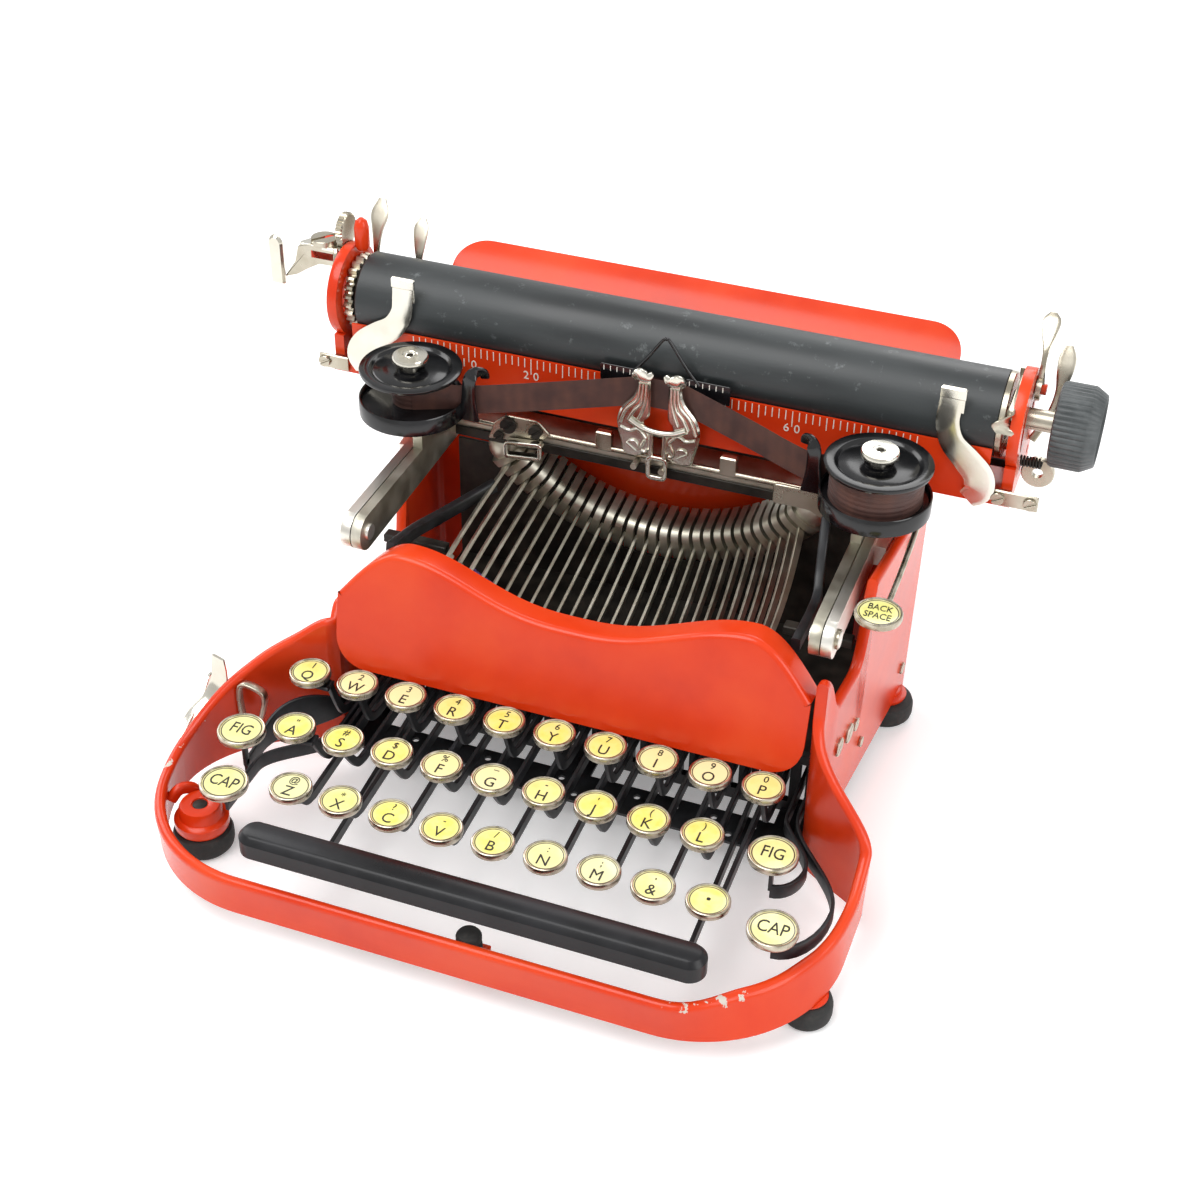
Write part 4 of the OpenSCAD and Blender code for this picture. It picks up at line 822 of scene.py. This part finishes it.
# Bail with both keys; a strap's hump is a bell curve along it
def makeShift(name, k):
    shells = []
    thick, tall, z = strap["thick"], strap["tall"], k["z"]
    barY, barZ = k["bar"]
    arm = easedOutline([(55, 25), (barY, barZ - 2), (barY, barZ + 2), (55, 31)], 1.5)
    for (x, y), out, lineX, bend, hump in zip(k["keys"], k["out"], k["lines"], k["bend"], k["hump"]):
        line = strapLine((x, y), out, lineX, k["turn"], bend)
        rise = hump * np.exp(-((line[:, 1] - strap["humpY"]) / strap["humpRun"]) ** 2)
        profiles = boxProfile(thick, tall, 0.3)[None] * np.stack([np.ones(len(line)), 1 + rise / tall], -1)[:, None]
        shells += group(3, sweep(np.column_stack([line, strap["z"] + rise / 2]), profiles),
                        block((x - 0.65, y - 0.6, 27.2), (x + 0.65, y + 1.9, z - 3.8), 0.2),
                        plate(arm, thick, (lineX - thick / 2, 0, 0), sideAxes, 0.2))
        shells += keyTop(x, y, z, strap["key"], strap["ring"], 0.55)
        shells += group(2, lettering(k["word"], 7.6, (x, y, z - inkDepth), topAxes, stretch=0.76))
    left, right = k["lines"]
    shells += group(3, rod((left - 0.6, barY, barZ), (right + 0.6, barY, barZ), 2.0))
    makePiece(name + "_bail", shells, keyMaterials, name, [name])


for name, settings in shiftKeys.items():
    makeShift(name, settings)
print("space bar and shift keys made")

# Shift lock: a plate on its pin outside the left wall, with a tab turned in at its upper end
lockSide = easedOutline([(-53, 22), (-48, 17), (-44, 19), (-24, 29), (-19, 36), (-24, 40), (-31, 34), (-48, 27)], 3)
lockTab = [(-137.2, -43, 27.6), (-135.6, -38.5, 30), (-132.4, -32, 34), (-130.4, -28.6, 40), (-130, -28, 46),
           (-130, -27.6, 51.5)]
lockShells = group(0, plate(lockSide, 1.4, (-137.7, 0, 0), sideAxes),
                   strip(lockTab, (7, 8, 8, 8, 8, 6), 1.2, (0.3, 0.9, 0)),
                   *screwHead((-137.6, -48, 22), (-1, 0, 0), 2.6, 0.5))
makePiece("shift_lock_tab", lockShells, [nickel], "shift_lock", ["shift_lock"])

# Backspace key: a card key on a thin rod that runs back to its pivot on the swinging frame
back = {"key": (103, 14, 107.5), "radius": 8.2, "ring": 4.2, "pivot": (104.8, 66, 112.5), "rod": 1.05}


def backShells(k):
    x, y, z = k["key"]
    line = smoothLine([(x + 0.4, y, z - 5.1), (104, 23, 103.2), (104.6, 44, 107), k["pivot"]], 7)
    shells = keyTop(x, y, z, k["radius"], k["ring"], 0.4)
    for word, up in (("BACK", 2.2), ("SPACE", -2.4)):
        shells += group(2, lettering(word, 4.6, (x, y + up, z - inkDepth), topAxes, stretch=0.72))
    return shells + group(0, sweep(line, ringProfile(k["rod"], 12)), collar(k["pivot"], 1.7, 3.4, 1.1, (0.2, 0.3)),
                          lathe([(2.0, -1.2), (5.0, -0.4), (5.4, 0.1)], (x, y, z - 3.6), steps=20))


makePiece("backspace_key_card", backShells(back), [ringNickel, keyCard, legendInk, dullNickel], "backspace_key",
          ["backspace_key"])
print("shift lock and backspace key made")

# Ribbon spools: turned flanges with a raised ring, hub, nickel nut, and the wound ribbon between them
spools = {"place": (88.9, 60.5), "top": 136.0, "radius": 19.3, "packs": {"left": 7.5, "right": 16.7}}


# The wound ribbon's radius is rippled by a cosine up its height
def makeSpool(side, sign, s):
    centre, r = (sign * s["place"][0], s["place"][1], s["top"]), s["radius"]
    flange = [(5.2, -0.9), (6.4, -0.9), (13.6, -0.9), (14.1, -1.15), (14.6, -0.9), (15.2, -0.15), (15.7, 0),
              (r - 0.7, 0), (r - 0.15, -0.2), (r, -0.7), (r - 0.3, -1.5), (r - 1.2, -1.7), (5.2, -1.7)]
    lower = [(4.6, -14.3), (r - 0.6, -14.3), (r - 0.1, -14.7), (r - 0.1, -15.3), (r - 0.6, -15.7), (4.6, -15.7)]
    ripple = np.linspace(0, 1, 25)
    wound = np.column_stack([s["packs"][side] - 0.15 + 0.15 * np.cos(ripple * 40), -14.2 + ripple * 12.4])
    nut = [(3, -0.9), (3, 2.2), (6.2, 2.2), (6.8, 2.6), (6.8, 4.1), (6.4, 4.7), (2.9, 4.8), (2.6, 4.5), (2.0, 4.5),
           (1.7, 4.8), (1.3, 4.6), (1.2, 3.0)]
    shells = group(0, *(lathe(ring, centre, steps=64, wrap=True) for ring in (flange, lower)),
                   lathe([(5, -15.6), (5, -0.3)], centre, steps=32))
    shells += group(1, lathe(wound, centre, steps=64)) + group(2, lathe(nut, centre, steps=44))
    shells += group(3, lathe([(1.15, 2.6), (1.15, 3.2), (0.6, 3.3)], centre, steps=20))
    name = "spool_" + side
    makePiece("ribbon_" + name, shells, [blackGloss, ribbonCloth, nickel, darkSteel], name, [name])


makeSpool("left", -1, spools)
makeSpool("right", 1, spools)


# Ribbon cups: a shallow tray with a rolled rim and a spindle, and a hooked guide post at its inner side
cupRim = [(3, 117), (19.4, 117), (20, 117.5), (20, 123.6), (19.7, 124), (19.2, 123.7), (19, 119.4), (3, 119)]
guidePost = [(66, 61, 117.5), (66, 61, 127), (65.6, 61.2, 134.5), (64, 62.6, 137), (61.8, 65, 136.4), (61.2, 66, 134)]
cupShells = []
for sign in (-1, 1):
    x, y = sign * spools["place"][0], spools["place"][1]
    cupShells += group(0, lathe(cupRim, (x, y, 0), steps=64, wrap=True), rod((x, y, 118), (x, y, 137.5), 2.4),
                       strip(np.array(guidePost) * [sign, 1, 1], (8, 5.4, 5, 4.6, 4.2, 3.4), 1.3))
makePiece("ribbon_cup_pair", cupShells, [blackGloss], "swing", ["ribbon_cups"])

# Ribbon runs: the line of the band's middle from spool over guide post to vibrator, and between its towers
ribbon = {"width": 12.0, "half": 0.09}
ribbonLines = {
    "left": [(-85.7, 53.7, 127.6), (-75, 58.5, 126.4), (-64.6, 63.4, 125.3), (-36, 71.0, 129), (-6, 78.9, 133.4)],
    "right": [(79.4, 74.3, 127.6), (72, 69.3, 126.4), (64.6, 64.2, 125.6), (38, 72.0, 129.4), (12.6, 78.9, 133.4)],
    "middle": [(-6, 78.9, 133.4), (3.3, 79.1, 133.6), (12.6, 78.9, 133.4)]}


# Ribbon: an upright band along its line, five points up each side; its flat length is the line's length in plan
def makeRibbon(side, line, k):
    path = smoothLine(line, 9)
    across = unit(np.cross(np.gradient(path, axis=0), (0, 0, 1))) * k["half"]
    rise = np.linspace(-k["width"] / 2, k["width"] / 2, 5)
    offsets = [(1, up) for up in rise] + [(-1, up) for up in rise[::-1]]
    rings = np.stack([path + face * across + [0, 0, up] for face, up in offsets], 1)
    ends = ("swing", "ribbon_vibrator", toFrame(line[0]).tolist(), toFrame(line[-1]).tolist())
    piece = makePiece("ribbon_" + side + "_run", group(0, loft(rings)), [ribbonCloth],
                      "ribbon_vibrator" if side == "middle" else ends, ["ribbon"], 50)


for side, line in ribbonLines.items():
    makeRibbon(side, line, ribbon)
print("spools and ribbon made")

# Ribbon vibrator: two mirrored castings, each a fluted tower with a curled top on a lobe with a screw, a thin
# cross bar, and a square loop hanging between them
vibrator = {"x": 3.3, "face": 75.6, "thick": 2.6, "flute": 0.62}
towerCorners = [(-8.6, 141.6), (-3.8, 141.6), (-3.4, 136), (-3.4, 125), (-6.4, 121.8), (-3.4, 118.6), (-2.6, 110),
                (-5, 109), (-8.8, 106.6), (-13.6, 107.4), (-14.4, 112.5), (-15.6, 116.5), (-16.4, 122), (-14.6, 127.2),
                (-9.6, 133), (-8.3, 137.5)]
flutes = [[(-14.6, 121), (-12.4, 127), (-8.2, 132), (-7.2, 139)], [(-11.6, 122.6), (-9.4, 127), (-6.6, 131), (-6, 139)],
          [(-7.6, 123.8), (-6, 128), (-4.9, 133), (-4.8, 139)], [(-14.6, 119), (-11, 118), (-7.6, 119.4), (-4.6, 116)],
          [(-5, 115), (-6.4, 111), (-4.6, 110), (-4, 111.4)]]
towerCurl = [(-9.4, 141.4), (-7.6, 143.2), (-4.4, 142.6), (-2.6, 144)]


def vibratorShells(v):
    shells = []
    for sign in (-1, 1):
        flip, middle = np.array([-sign, 1]), np.array([v["x"], 0])
        tower = easedOutline(towerCorners * flip, 2.0) + middle
        shells.append(plate(tower, v["thick"], (0, v["face"], 0), faceAxes, 0.7))
        for flute in flutes:
            ridge = smoothLine(atDepth(flute * flip + middle, v["face"] - 0.1), 6)
            shells.append(sweep(ridge, ringProfile(v["flute"]), (0, 1, 0)))
        curl = atDepth(towerCurl * flip + middle, v["face"] - np.array([0, 1, 1, 0.2]))
        shells.append(strip(curl, (2.4, 4.4, 3.6, 1.6), 2.6))
        shells += screwHead((v["x"] + sign * 9.6, v["face"] + 0.1, 112), (0, -1, 0), 2.5, 1.0, 0.6 * sign)
        x, y = v["x"] + sign * 2.7, v["face"] + 0.6
        shells.append(rod((x, y, 119.6), (x, y, 108), 1.1))
    cross = np.array([(-11, 123), (-6, 120.4), (0, 119.4), (6, 120.2), (11, 122.6)]) + middle
    shells.append(sweep(smoothLine(atDepth(cross, v["face"] - 0.2), 6), ringProfile(1.3, 12), (0, 1, 0)))
    loop = easedOutline([(-3.4, 108), (-3.2, 99.4), (3.2, 99.4), (3.4, 108)], 1.4, 4) + middle
    shells.append(sweep(atDepth(loop, v["face"] + 0.6), boxProfile(1.9, 2.2, 0.5), (0, 1, 0), True))
    return group(0, *shells)


makePiece("ribbon_vibrator_casting", vibratorShells(vibrator), [nickel], "ribbon_vibrator",
          ["ribbon_vibrator"])

# Line indicator: two black graduated plates joined by a wire peak, with marks every tenth of an inch
indicator = {"plates": ((-21, -5), (12, 29)), "face": 79.5, "low": 134.0, "high": 141.8, "thick": 0.5, "wire": 0.6}
tenthInch = 2.54


def indicatorShells(k):
    shells, y = [], k["face"]
    for low, high in k["plates"]:
        corners = [(low, k["low"]), (high, k["low"]), (high, k["high"]), (low, k["high"])]
        shells += group(0, facePlate(corners, 0.6, y, k["thick"], 0.12, 3))
        shells += group(1, *(block((x - 0.16, y - 0.07, 139.2), (x + 0.16, y + 0.05, 141.2), 0.02)
                             for x in np.arange(low + 1.4, high - 0.6, tenthInch)))
    peak = [(-9, 140), (-4, 146), (2.6, 155.6), (4, 156.3), (5.4, 155.6), (12, 146), (17, 140)]
    return shells + group(0, sweep(smoothLine(atDepth(peak, y + 0.25), 6), ringProfile(k["wire"]), (0, 1, 0)))


makePiece("line_indicator_plates", indicatorShells(indicator), [blackGloss, scaleWhite], "swing",
          ["line_indicator"])
print("vibrator and line indicator made")

# Type basket frame: its origin is the printing point, bars lie forward along it, and the arc opens upward
typeBasket = {"print": (82.7, 140.0), "lean": 10.0, "half": 49.0, "count": 28, "reach": 77.0, "length": 60.0,
              "nose": 8.0, "core": 5.0, "slot": 1.7, "over": 3.5, "ball": 8.2, "felt": (88.0, 56.0)}
typeAngles = np.linspace(-90 - typeBasket["half"], -90 + typeBasket["half"], typeBasket["count"])


def inBasket(points, t):
    tilt = math.radians(90 + t["lean"])
    x, y, z = np.moveaxis(np.asarray(points, float), -1, 0)
    return np.stack([x, t["print"][0] + y * math.cos(tilt) - z * math.sin(tilt),
                     t["print"][1] + y * math.sin(tilt) + z * math.cos(tilt)], -1)


# Piece of an arc: a profile (radius, along) carried round the printing point between two angles
def arcShell(profile, start, end, steps, t):
    radial = around(np.radians(np.linspace(start, end, steps)))[:, None]
    along = np.broadcast_to(profile[:, 1:], (steps, len(profile), 1))
    points, faces = loft(np.concatenate([profile[None, :, :1] * radial, along], -1))
    return inBasket(points, t), faces


# Segment: a bull nosed arc, its section a rounded square (powers of sine and cosine), cut into fingers by the
# typebar slots, over a dark core, with a ball at each end
def segmentShells(t):
    turn = np.radians(np.linspace(0, 180, 19))
    nose = np.column_stack([np.sign(np.cos(turn)) * np.abs(np.cos(turn)) ** 0.6, np.abs(np.sin(turn)) ** 0.6])

    def section(r):
        return np.concatenate([[(t["reach"] + r, -4)], [t["reach"], 4] + r * nose, [(t["reach"] - r, -4)]])

    cut = math.degrees(t["slot"] / 2 / t["reach"])
    edges = [typeAngles[0] - t["over"], *typeAngles, typeAngles[-1] + t["over"]]
    shells = group(1, arcShell(section(t["core"]), edges[0], edges[-1], 60, t))
    for low, high in zip(edges[:-1], edges[1:]):
        shells += group(0, arcShell(section(t["nose"]), low + cut, high - cut, 4, t))
    sphere = t["ball"] * around(np.linspace(0.12, np.pi - 0.12, 14) - np.pi / 2)
    for angle in np.radians([edges[0], edges[-1]]):
        centre = inBasket((*(t["reach"] * around(angle)), 3), t)
        shells += group(0, lathe(sphere, centre, axis=1, steps=28))
    return shells


makePiece("segment_fingers", segmentShells(typeBasket), [agedSteel, darkSteel], "base", ["typebar_segment"])


# One typebar in its own plane: a slim strip that dips on a quarter sine, with a block of type at its end
def typebarShells(t):
    shells = []
    u = np.linspace(0, 1, 14)
    line = np.column_stack([t["reach"] + 6.5 * np.sin(np.pi / 2 * u), 2 + t["length"] * u])
    half = (1.6 - 0.5 * u)[:, None] * [1, 0]
    arm = np.concatenate([line - half, (line + half)[::-1]])
    head = easedOutline([(80, 62), (85.5, 62), (85.5, 68.5), (80, 68.5)], 0.8, 3)
    for a in np.radians(typeAngles):
        out, side = np.array([math.cos(a), math.sin(a), 0]), np.array([-math.sin(a), math.cos(a), 0])
        for outline, thick, ease in ((arm, 1.2, 0.15), (head, 1.8, 0.3)):
            points, faces = plate(outline, thick, -thick / 2 * side, (out, (0, 0, 1), side), ease)
            shells += group(0, (inBasket(points, t), faces))
    return shells


# Felt rest: a flat ring strip below the bars, on two ears
def feltShells(t):
    shells = group(1, arcShell(boxProfile(2.0, 4.0, 0.6) + t["felt"], typeAngles[0] + 8, typeAngles[-1] - 8, 60, t))
    for low, high in ((-91.5, -66), (66, 91.5)):
        shells += group(2, block((low, 35.2, 72.2), (high, 39.8, 75.8)))
    return shells


makePiece("typebar_set", typebarShells(typeBasket) + feltShells(typeBasket), [agedSteel, felt, darkSteel], "base",
          ["typebars"])
print("typebars made")

# Platen: ground rubber roll with eased ends, plated end ring, axle and a toothed ratchet
platen = {"y": 98.3, "z": 142.0, "shift": 2.0, "half": 124.6, "radius": 15.6, "teeth": 24, "ratchetX": -128.0}


def platenShells(p):
    centre = (p["shift"], p["y"], p["z"])
    h, r = p["half"], p["radius"]
    roll = [(r - 3, -h), (r - 0.6, -h), (r, -h + 0.6), (r, h - 2.6), (r - 0.1, h - 2.5), (r - 3, h - 2.5)]
    ring = [(9, h - 2.6), (r - 0.5, h - 2.6), (r - 0.1, h - 2.2), (r - 0.1, h - 0.4), (r - 0.5, h), (9, h)]
    axle = [(3.2, -135.2), (3.9, -134.8), (3.9, 140.4), (3.2, 140.6)]
    tooth = np.tile([14.3, 14.3, 12.7, 12.9], p["teeth"])[:, None]
    wheel = plate(tooth * ringProfile(1, p["teeth"] * 4), 3.6, (p["ratchetX"], p["y"], p["z"]), sideAxes, 0.2)
    return group(0, lathe(roll, centre, 0, 72)) + group(1, lathe(ring, centre, 0, 64, True),
                                                        lathe(axle, centre, 0, 28), wheel)


makePiece("platen_roll", platenShells(platen), [platenRubber, dullNickel], "platen", ["platen"])

# Platen knob: ribbed grip with a dished end; each station has its radius, place and share of the ribs, whose height
# is the size of a cosine
knob = {"start": 142.4, "width": 16.2, "radius": 15.4, "ribs": 44, "ribHeight": 0.55}


def knobShell(k):
    turn = turns(k["ribs"] * 6)
    rib = k["ribHeight"] * (np.abs(np.cos(turn * k["ribs"] / 2)) - 1)
    w, r = k["width"], k["radius"]
    stations = [(4.2, 0, 0), (r - 2.2, 0, 0), (r - 0.6, 0.5, 0.4), (r, 1.6, 1), (r, w - 4.6, 1),
                (r - 0.5, w - 3.6, 0.4), (r - 2.4, w - 0.3, 0), (r - 2.9, w, 0), (r - 3.5, w - 0.1, 0),
                (r - 4.1, w - 1.5, 0), (r - 4.5, w - 6, 0), (6.4, w - 6.2, 0), (5.6, w - 5.4, 0), (2.5, w - 5.2, 0)]
    size, x, share = np.array(stations).T[..., None]
    radius = size + share * rib
    return loft(np.stack([np.broadcast_to(x + k["start"], radius.shape), platen["y"] + radius * np.cos(turn),
                          platen["z"] + radius * np.sin(turn)], -1))


makePiece("platen_knob_grip", group(0, knobShell(knob)), [knobRubber], "platen", ["platen_knob"])
print("platen and knob made")

# Apron scale: white marks every tenth of an inch, longer at five and ten, with a number astride each ten
apronScale = {"face": 82.78, "top": 135.2, "zero": -100.6, "count": 80, "marks": (3.8, 5.2, 6.4), "digit": 4.8,
              "digitDrop": 7.2, "digitApart": 2.0}


def scaleShells(s):
    shells, y, top = [], s["face"], s["top"]
    for i in range(1, s["count"] - 1):
        x = s["zero"] + i * tenthInch
        tall = s["marks"][(i % 5 == 0) + (i % 10 == 0)]
        shells.append(block((x - 0.17, y - 0.1, top - tall), (x + 0.17, y + 0.05, top), 0.02))
        for digit, sign in zip(str(i) if i % 10 == 0 else "", (-1, 1)):
            place = (x + sign * s["digitApart"], y, top - s["digitDrop"])
            shells.append(lettering(digit, s["digit"], place, scaleAxes, 0.16))
    return group(0, *shells)


makePiece("apron_scale", scaleShells(apronScale), [scaleWhite], "carriage")
print("apron scale made")

# Paper table: a sheet bent back along a crease, its top corners round; front and back are the same curve apart
tableShape = {"half": 102.0, "corner": 13.0, "thick": 1.6, "brackets": (-76, 66),
              "line": ((117.8, 124), (118.6, 129), (121.5, 134.5), (127, 140.5), (134, 146.2), (140.6, 150.4))}


def tableShells(t):
    line = smoothLine(t["line"], 10)
    run = runAlong(line)
    x = t["half"] * np.sin(np.linspace(-1, 1, 91) * np.pi / 2)
    past = np.clip(np.abs(x) - (t["half"] - t["corner"]), 0, t["corner"])
    reach = run[-1] - t["corner"] + np.sqrt(np.maximum(t["corner"] ** 2 - past**2, 0))
    share = np.linspace(0, 1, 28)[None] * reach[:, None]
    y, z = np.interp(share, run, line[:, 0]), np.interp(share, run, line[:, 1])
    tilt = np.interp(share, run, np.arctan2(np.gradient(line[:, 1]), np.gradient(line[:, 0])))
    front = np.stack([np.broadcast_to(x[:, None], y.shape), y, z], -1)
    back = front + t["thick"] * np.stack([np.zeros_like(y), np.sin(tilt), -np.cos(tilt)], -1)
    brackets = [block((x, 117.9, 116.4), (x + 10, 119.6, 126), 0.3) for x in t["brackets"]]
    return group(0, loft(np.concatenate([front, back[:, ::-1]], 1)), *brackets)


makePiece("paper_table_sheet", tableShells(tableShape), [redEnamel], "carriage", ["paper_table"])

# Paper fingers: springy straps with a folded top, bowed out at the foot
fingerLines = {"left": [(-100.8, 158.6), (-101.3, 151), (-102, 144.6), (-105.5, 138.6), (-111.5, 134), (-117.5, 129),
                        (-120.5, 123), (-119, 117)],
               "right": [(108.2, 157), (107.6, 150), (107.5, 143.5), (110, 136.5), (116, 130.5), (121, 125),
                         (121.5, 119), (118, 114.8)]}
finger = {"bow": (81.7, 81.6, 81.5, 81.4, 81.3, 81.0, 80.9, 81.2), "thick": 0.9,
          "widths": (8.4, 8.2, 8.4, 9, 10.4, 11, 10.4, 7.5)}
for side, line in fingerLines.items():
    x, z = line[0]
    shells = group(0, strip(atDepth(line, finger["bow"]), finger["widths"], finger["thick"]),
                   block((x - 4.7, 80.7, z - 3.4), (x + 4.7, 82.4, z + 1.2), 0.6),
                   block((x - 4.3, 82, z - 9), (x + 4.3, 82.5, z + 0.8), 0.2))
    name = "paper_finger_" + side
    makePiece(name + "_strap", shells, [nickel], name, [name])

# Line space lever: faceted finger plate, sloping web and arm, big slotted screw, a hanging stop, and a milled disc,
# its radius a cosine of thirty teeth
spacerArm = easedOutline([(-152, 95.6), (-134, 94.6), (-132, 97), (-136, 105), (-146, 105)], 2)
spacerWeb = [(-158.6, 143), (-153.4, 150.5), (-151.6, 157.6), (-146, 159), (-133.5, 158.4), (-131.5, 154),
             (-136, 151.4), (-143, 151.2), (-148, 148.4), (-153, 145)]
spacerGrip = [(-163.8, 140.2), (-157.6, 140.2), (-157.6, 158.4), (-159.4, 161), (-162, 161), (-163.8, 158.4)]
spacerStop = [(-135, 95, 159), (-134.6, 94, 157.4), (-134.4, 93.4, 154.6), (-134.6, 93.4, 152)]
milled = ringProfile(1, 120) * (6.6 + 0.25 * np.cos(turns(120) * 30))[:, None]
spacerShells = group(0, plate(spacerArm, 1.6, (0, 0, 157.4), topAxes), facePlate(spacerGrip, 1.2, 93, 2.4, 0.9))
spacerShells += group(1, facePlate(spacerWeb, 0.8, 95, 1.3, steps=4),
                      *screwHead((-142, 99, 159), (0, 0, 1), 5.2, 2.2, 0.9),
                      plate(milled, 3, (-136.4, 103.5, 163.6), sideAxes, 0.4),
                      strip(spacerStop, (4, 5, 5.4, 4), 2, (0.9, 0.3, 0)))
makePiece("line_space_arm", spacerShells, [nickel, dullNickel], "line_space_lever", ["line_space_lever"])

# Spoon levers: thin stems that widen into spoons, each a line and its widths; the last two stand on the carriage
spoonThick = 1.1
spoons = {"releaseLeft": ([(-126.5, 113, 119), (-126.5, 112, 138), (-126.6, 112.5, 151), (-127, 115, 159),
                           (-127.3, 118.5, 165), (-127.5, 122, 170)], (3, 2.6, 2.4, 4.4, 7.2, 3)),
          "releaseRight": ([(126.5, 114, 119), (126.5, 118.5, 136), (126.5, 119, 150)], (3, 2.6, 2)),
          "paper": ([(134.3, 106, 151), (134.3, 106.2, 158), (134.2, 108.5, 163.5), (134, 112.5, 168),
                     (133.8, 116.6, 171.6), (133.7, 119, 173.4)], (3.4, 2, 2.2, 5, 6.4, 2.6)),
          "right": ([(134, 114, 124), (138.5, 116.5, 134), (140.4, 117.5, 143), (141, 119.5, 150), (141, 122.5, 155),
                     (140.8, 125, 158.6)], (3, 2.6, 2.8, 5.6, 6.2, 2.6)),
          "left": ([(-110, 116, 138), (-110.4, 116.5, 148), (-111, 119, 154.5), (-111.6, 122.5, 160),
                    (-111.8, 125, 163)], (3, 2.4, 4.6, 6, 2.6))}
spoon = {name: strip(line, widths, spoonThick) for name, (line, widths) in spoons.items()}
releaseShells = group(0, rod((-132.6, 114, 120), (132.6, 114, 120), 1.9), spoon["releaseLeft"], spoon["releaseRight"])
makePiece("carriage_release_spoons", releaseShells, [dullNickel], "carriage_release_lever",
          ["carriage_release_lever"])
paperEye = [(2.1, 133.4), (4.4, 133.4), (4.4, 135.2), (2.1, 135.2)]
makePiece("paper_release_spoon", group(0, lathe(paperEye, (0, 106, 150), 0, 28, True), spoon["paper"]), [dullNickel],
          "paper_release_lever", ["paper_release_lever"])

# Small fittings of the carriage: straps with screws below both ends, a card spoon, two spoons, a washer, a spring (a
# helix) and a red tip
strapBlocks = [((127, 81.4, 114.4), (143, 82.6, 120.6)), ((-138.5, 81.4, 114.4), (-126, 82.6, 120.4)),
               ((129, 82.4, 115), (133, 92, 119.6)), ((-133, 82.4, 115), (-129, 92, 119.6))]
cardSpoon = [(129.4, 99, 157.5), (129.2, 91, 156.5), (128.4, 84.6, 152), (127.6, 81, 147.5), (127.2, 79.8, 144.5)]
spring = {"start": 133.6, "pitch": 0.17, "centre": (88.4, 130.4), "radius": 1.6, "wire": 0.42, "coils": 7}
redTip = [(2.2, 158.5), (2.9, 160), (2.9, 167.5), (2.3, 170), (1, 171.2)]


def fittingShells(s):
    shells = group(0, *(block(low, high) for low, high in strapBlocks), spoon["right"], spoon["left"],
                   strip(cardSpoon, (2.4, 2.4, 3, 11, 6), spoonThick, (0, 0.6, 0.8)),
                   collar((139.5, 99, 120.5), 2, 6, 1.2, (0.4, 0.4), axis=1, steps=32))
    for x in (128.6, 140.2, -136):
        shells += group(0, *screwHead((x, 81.5, 117.5), (0, -1, 0), 2.4, 1.2, 0.5))
    wind = np.linspace(0, 2 * np.pi * s["coils"], 150)
    helix = np.column_stack([s["start"] + s["pitch"] * wind, s["centre"] + s["radius"] * around(wind)])
    shells += group(1, sweep(helix, ringProfile(s["wire"], 8), (1, 0, 0)))
    return shells + group(2, lathe(redTip, (-126.4, 100.5, 0), steps=24))


makePiece("carriage_fittings", fittingShells(spring), [dullNickel, darkSteel, redEnamel], "carriage")

# Front rail: two clips, a rod with a dark strip below it as painted shade, a bracket with screws and a yoke on the
# left, a corner plate
rail = {"half": 80, "clips": (-19, 30), "screws": ((-57, 108, 3.2), (-46, 107.4, 2.6), (-61, 102.6, 2))}
railBracket = [(-66, 100), (-44, 103), (-40, 107), (-45, 112), (-58, 112), (-63, 108)]
railYoke = [(-57, 96), (-43, 97.5), (-43, 103.5), (-57, 102)]
railCorner = [(48, 98), (62, 98), (70, 94), (80, 94), (80, 105), (66, 106.6), (48, 106.4)]


def railShells(k):
    h = k["half"]
    shells = group(0, rod((-h, 79.6, 105.6), (h, 79.6, 105.6), 1.1), facePlate(railBracket, 1.5, 77.6, 1.3),
                   facePlate(railCorner, 1.5, 77.8, 1.2))
    shells += group(1, sweep(atDepth(easedOutline(railYoke, 1.2, 4), 75.4), boxProfile(1.8, 3.4, 0.4), (0, 1, 0), True))
    # Painted shade: a dark steel strip below the rod that stands in for the shade under the rail
    shells += group(2, block((-h, 79.1, 97.9), (h, 79.9, 102), 0.2))
    for x in k["clips"]:
        shells += group(0, block((x - 3.2, 78.4, 104.6), (x + 3.2, 81.6, 112.6), 0.5),
                        block((x + 3, 79, 104.6), (x + 8, 80.2, 106.4), 0.3))
    for x, z, size in k["screws"]:
        shells += group(2, *screwHead((x, 77.7, z), (0, -1, 0), size, 1.6, 0.7))
    return shells


makePiece("rail_clips", railShells(rail), [dullNickel, nickel, darkSteel], "swing")

# Heads of the fold pins
pinHeads = [shell for sign in (-1, 1) for shell in screwHead((sign * 90.9, 7.5, 97), (sign, 0, 0), 3.6, 1.3, 0.9)]
makePiece("fold_pin_heads", group(0, *pinHeads), [dullNickel], "base")
print("carriage fittings made")

# Nodes shown as they are, each with its finish and a small bevel on its edges
kept = {"key_guide": (blackSatin, 0.2), "fold_arms": (brushedNickel, 0.6), "swing_frame": (agedSteel, 0.4),
        "shift_frame": (darkSteel, 0.4), "carriage_rail": (darkSteel, 0.4), "carriage_frame": (redEnamel, 0.7),
        "feed_roller": (footRubber, 0.4), "mainspring_drum": (darkSteel, 0.5)}
for name, (material, width) in kept.items():
    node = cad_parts[name]
    node.data.materials.clear()
    node.data.materials.append(material)
    weld = node.modifiers.new("weld", "WELD")
    weld.merge_threshold = 0.000005
    soften = node.modifiers.new("soften", "BEVEL")
    soften.width, soften.segments = width * 0.001, 2
    soften.limit_method, soften.angle_limit = "ANGLE", math.radians(35)
print("kept nodes dressed")
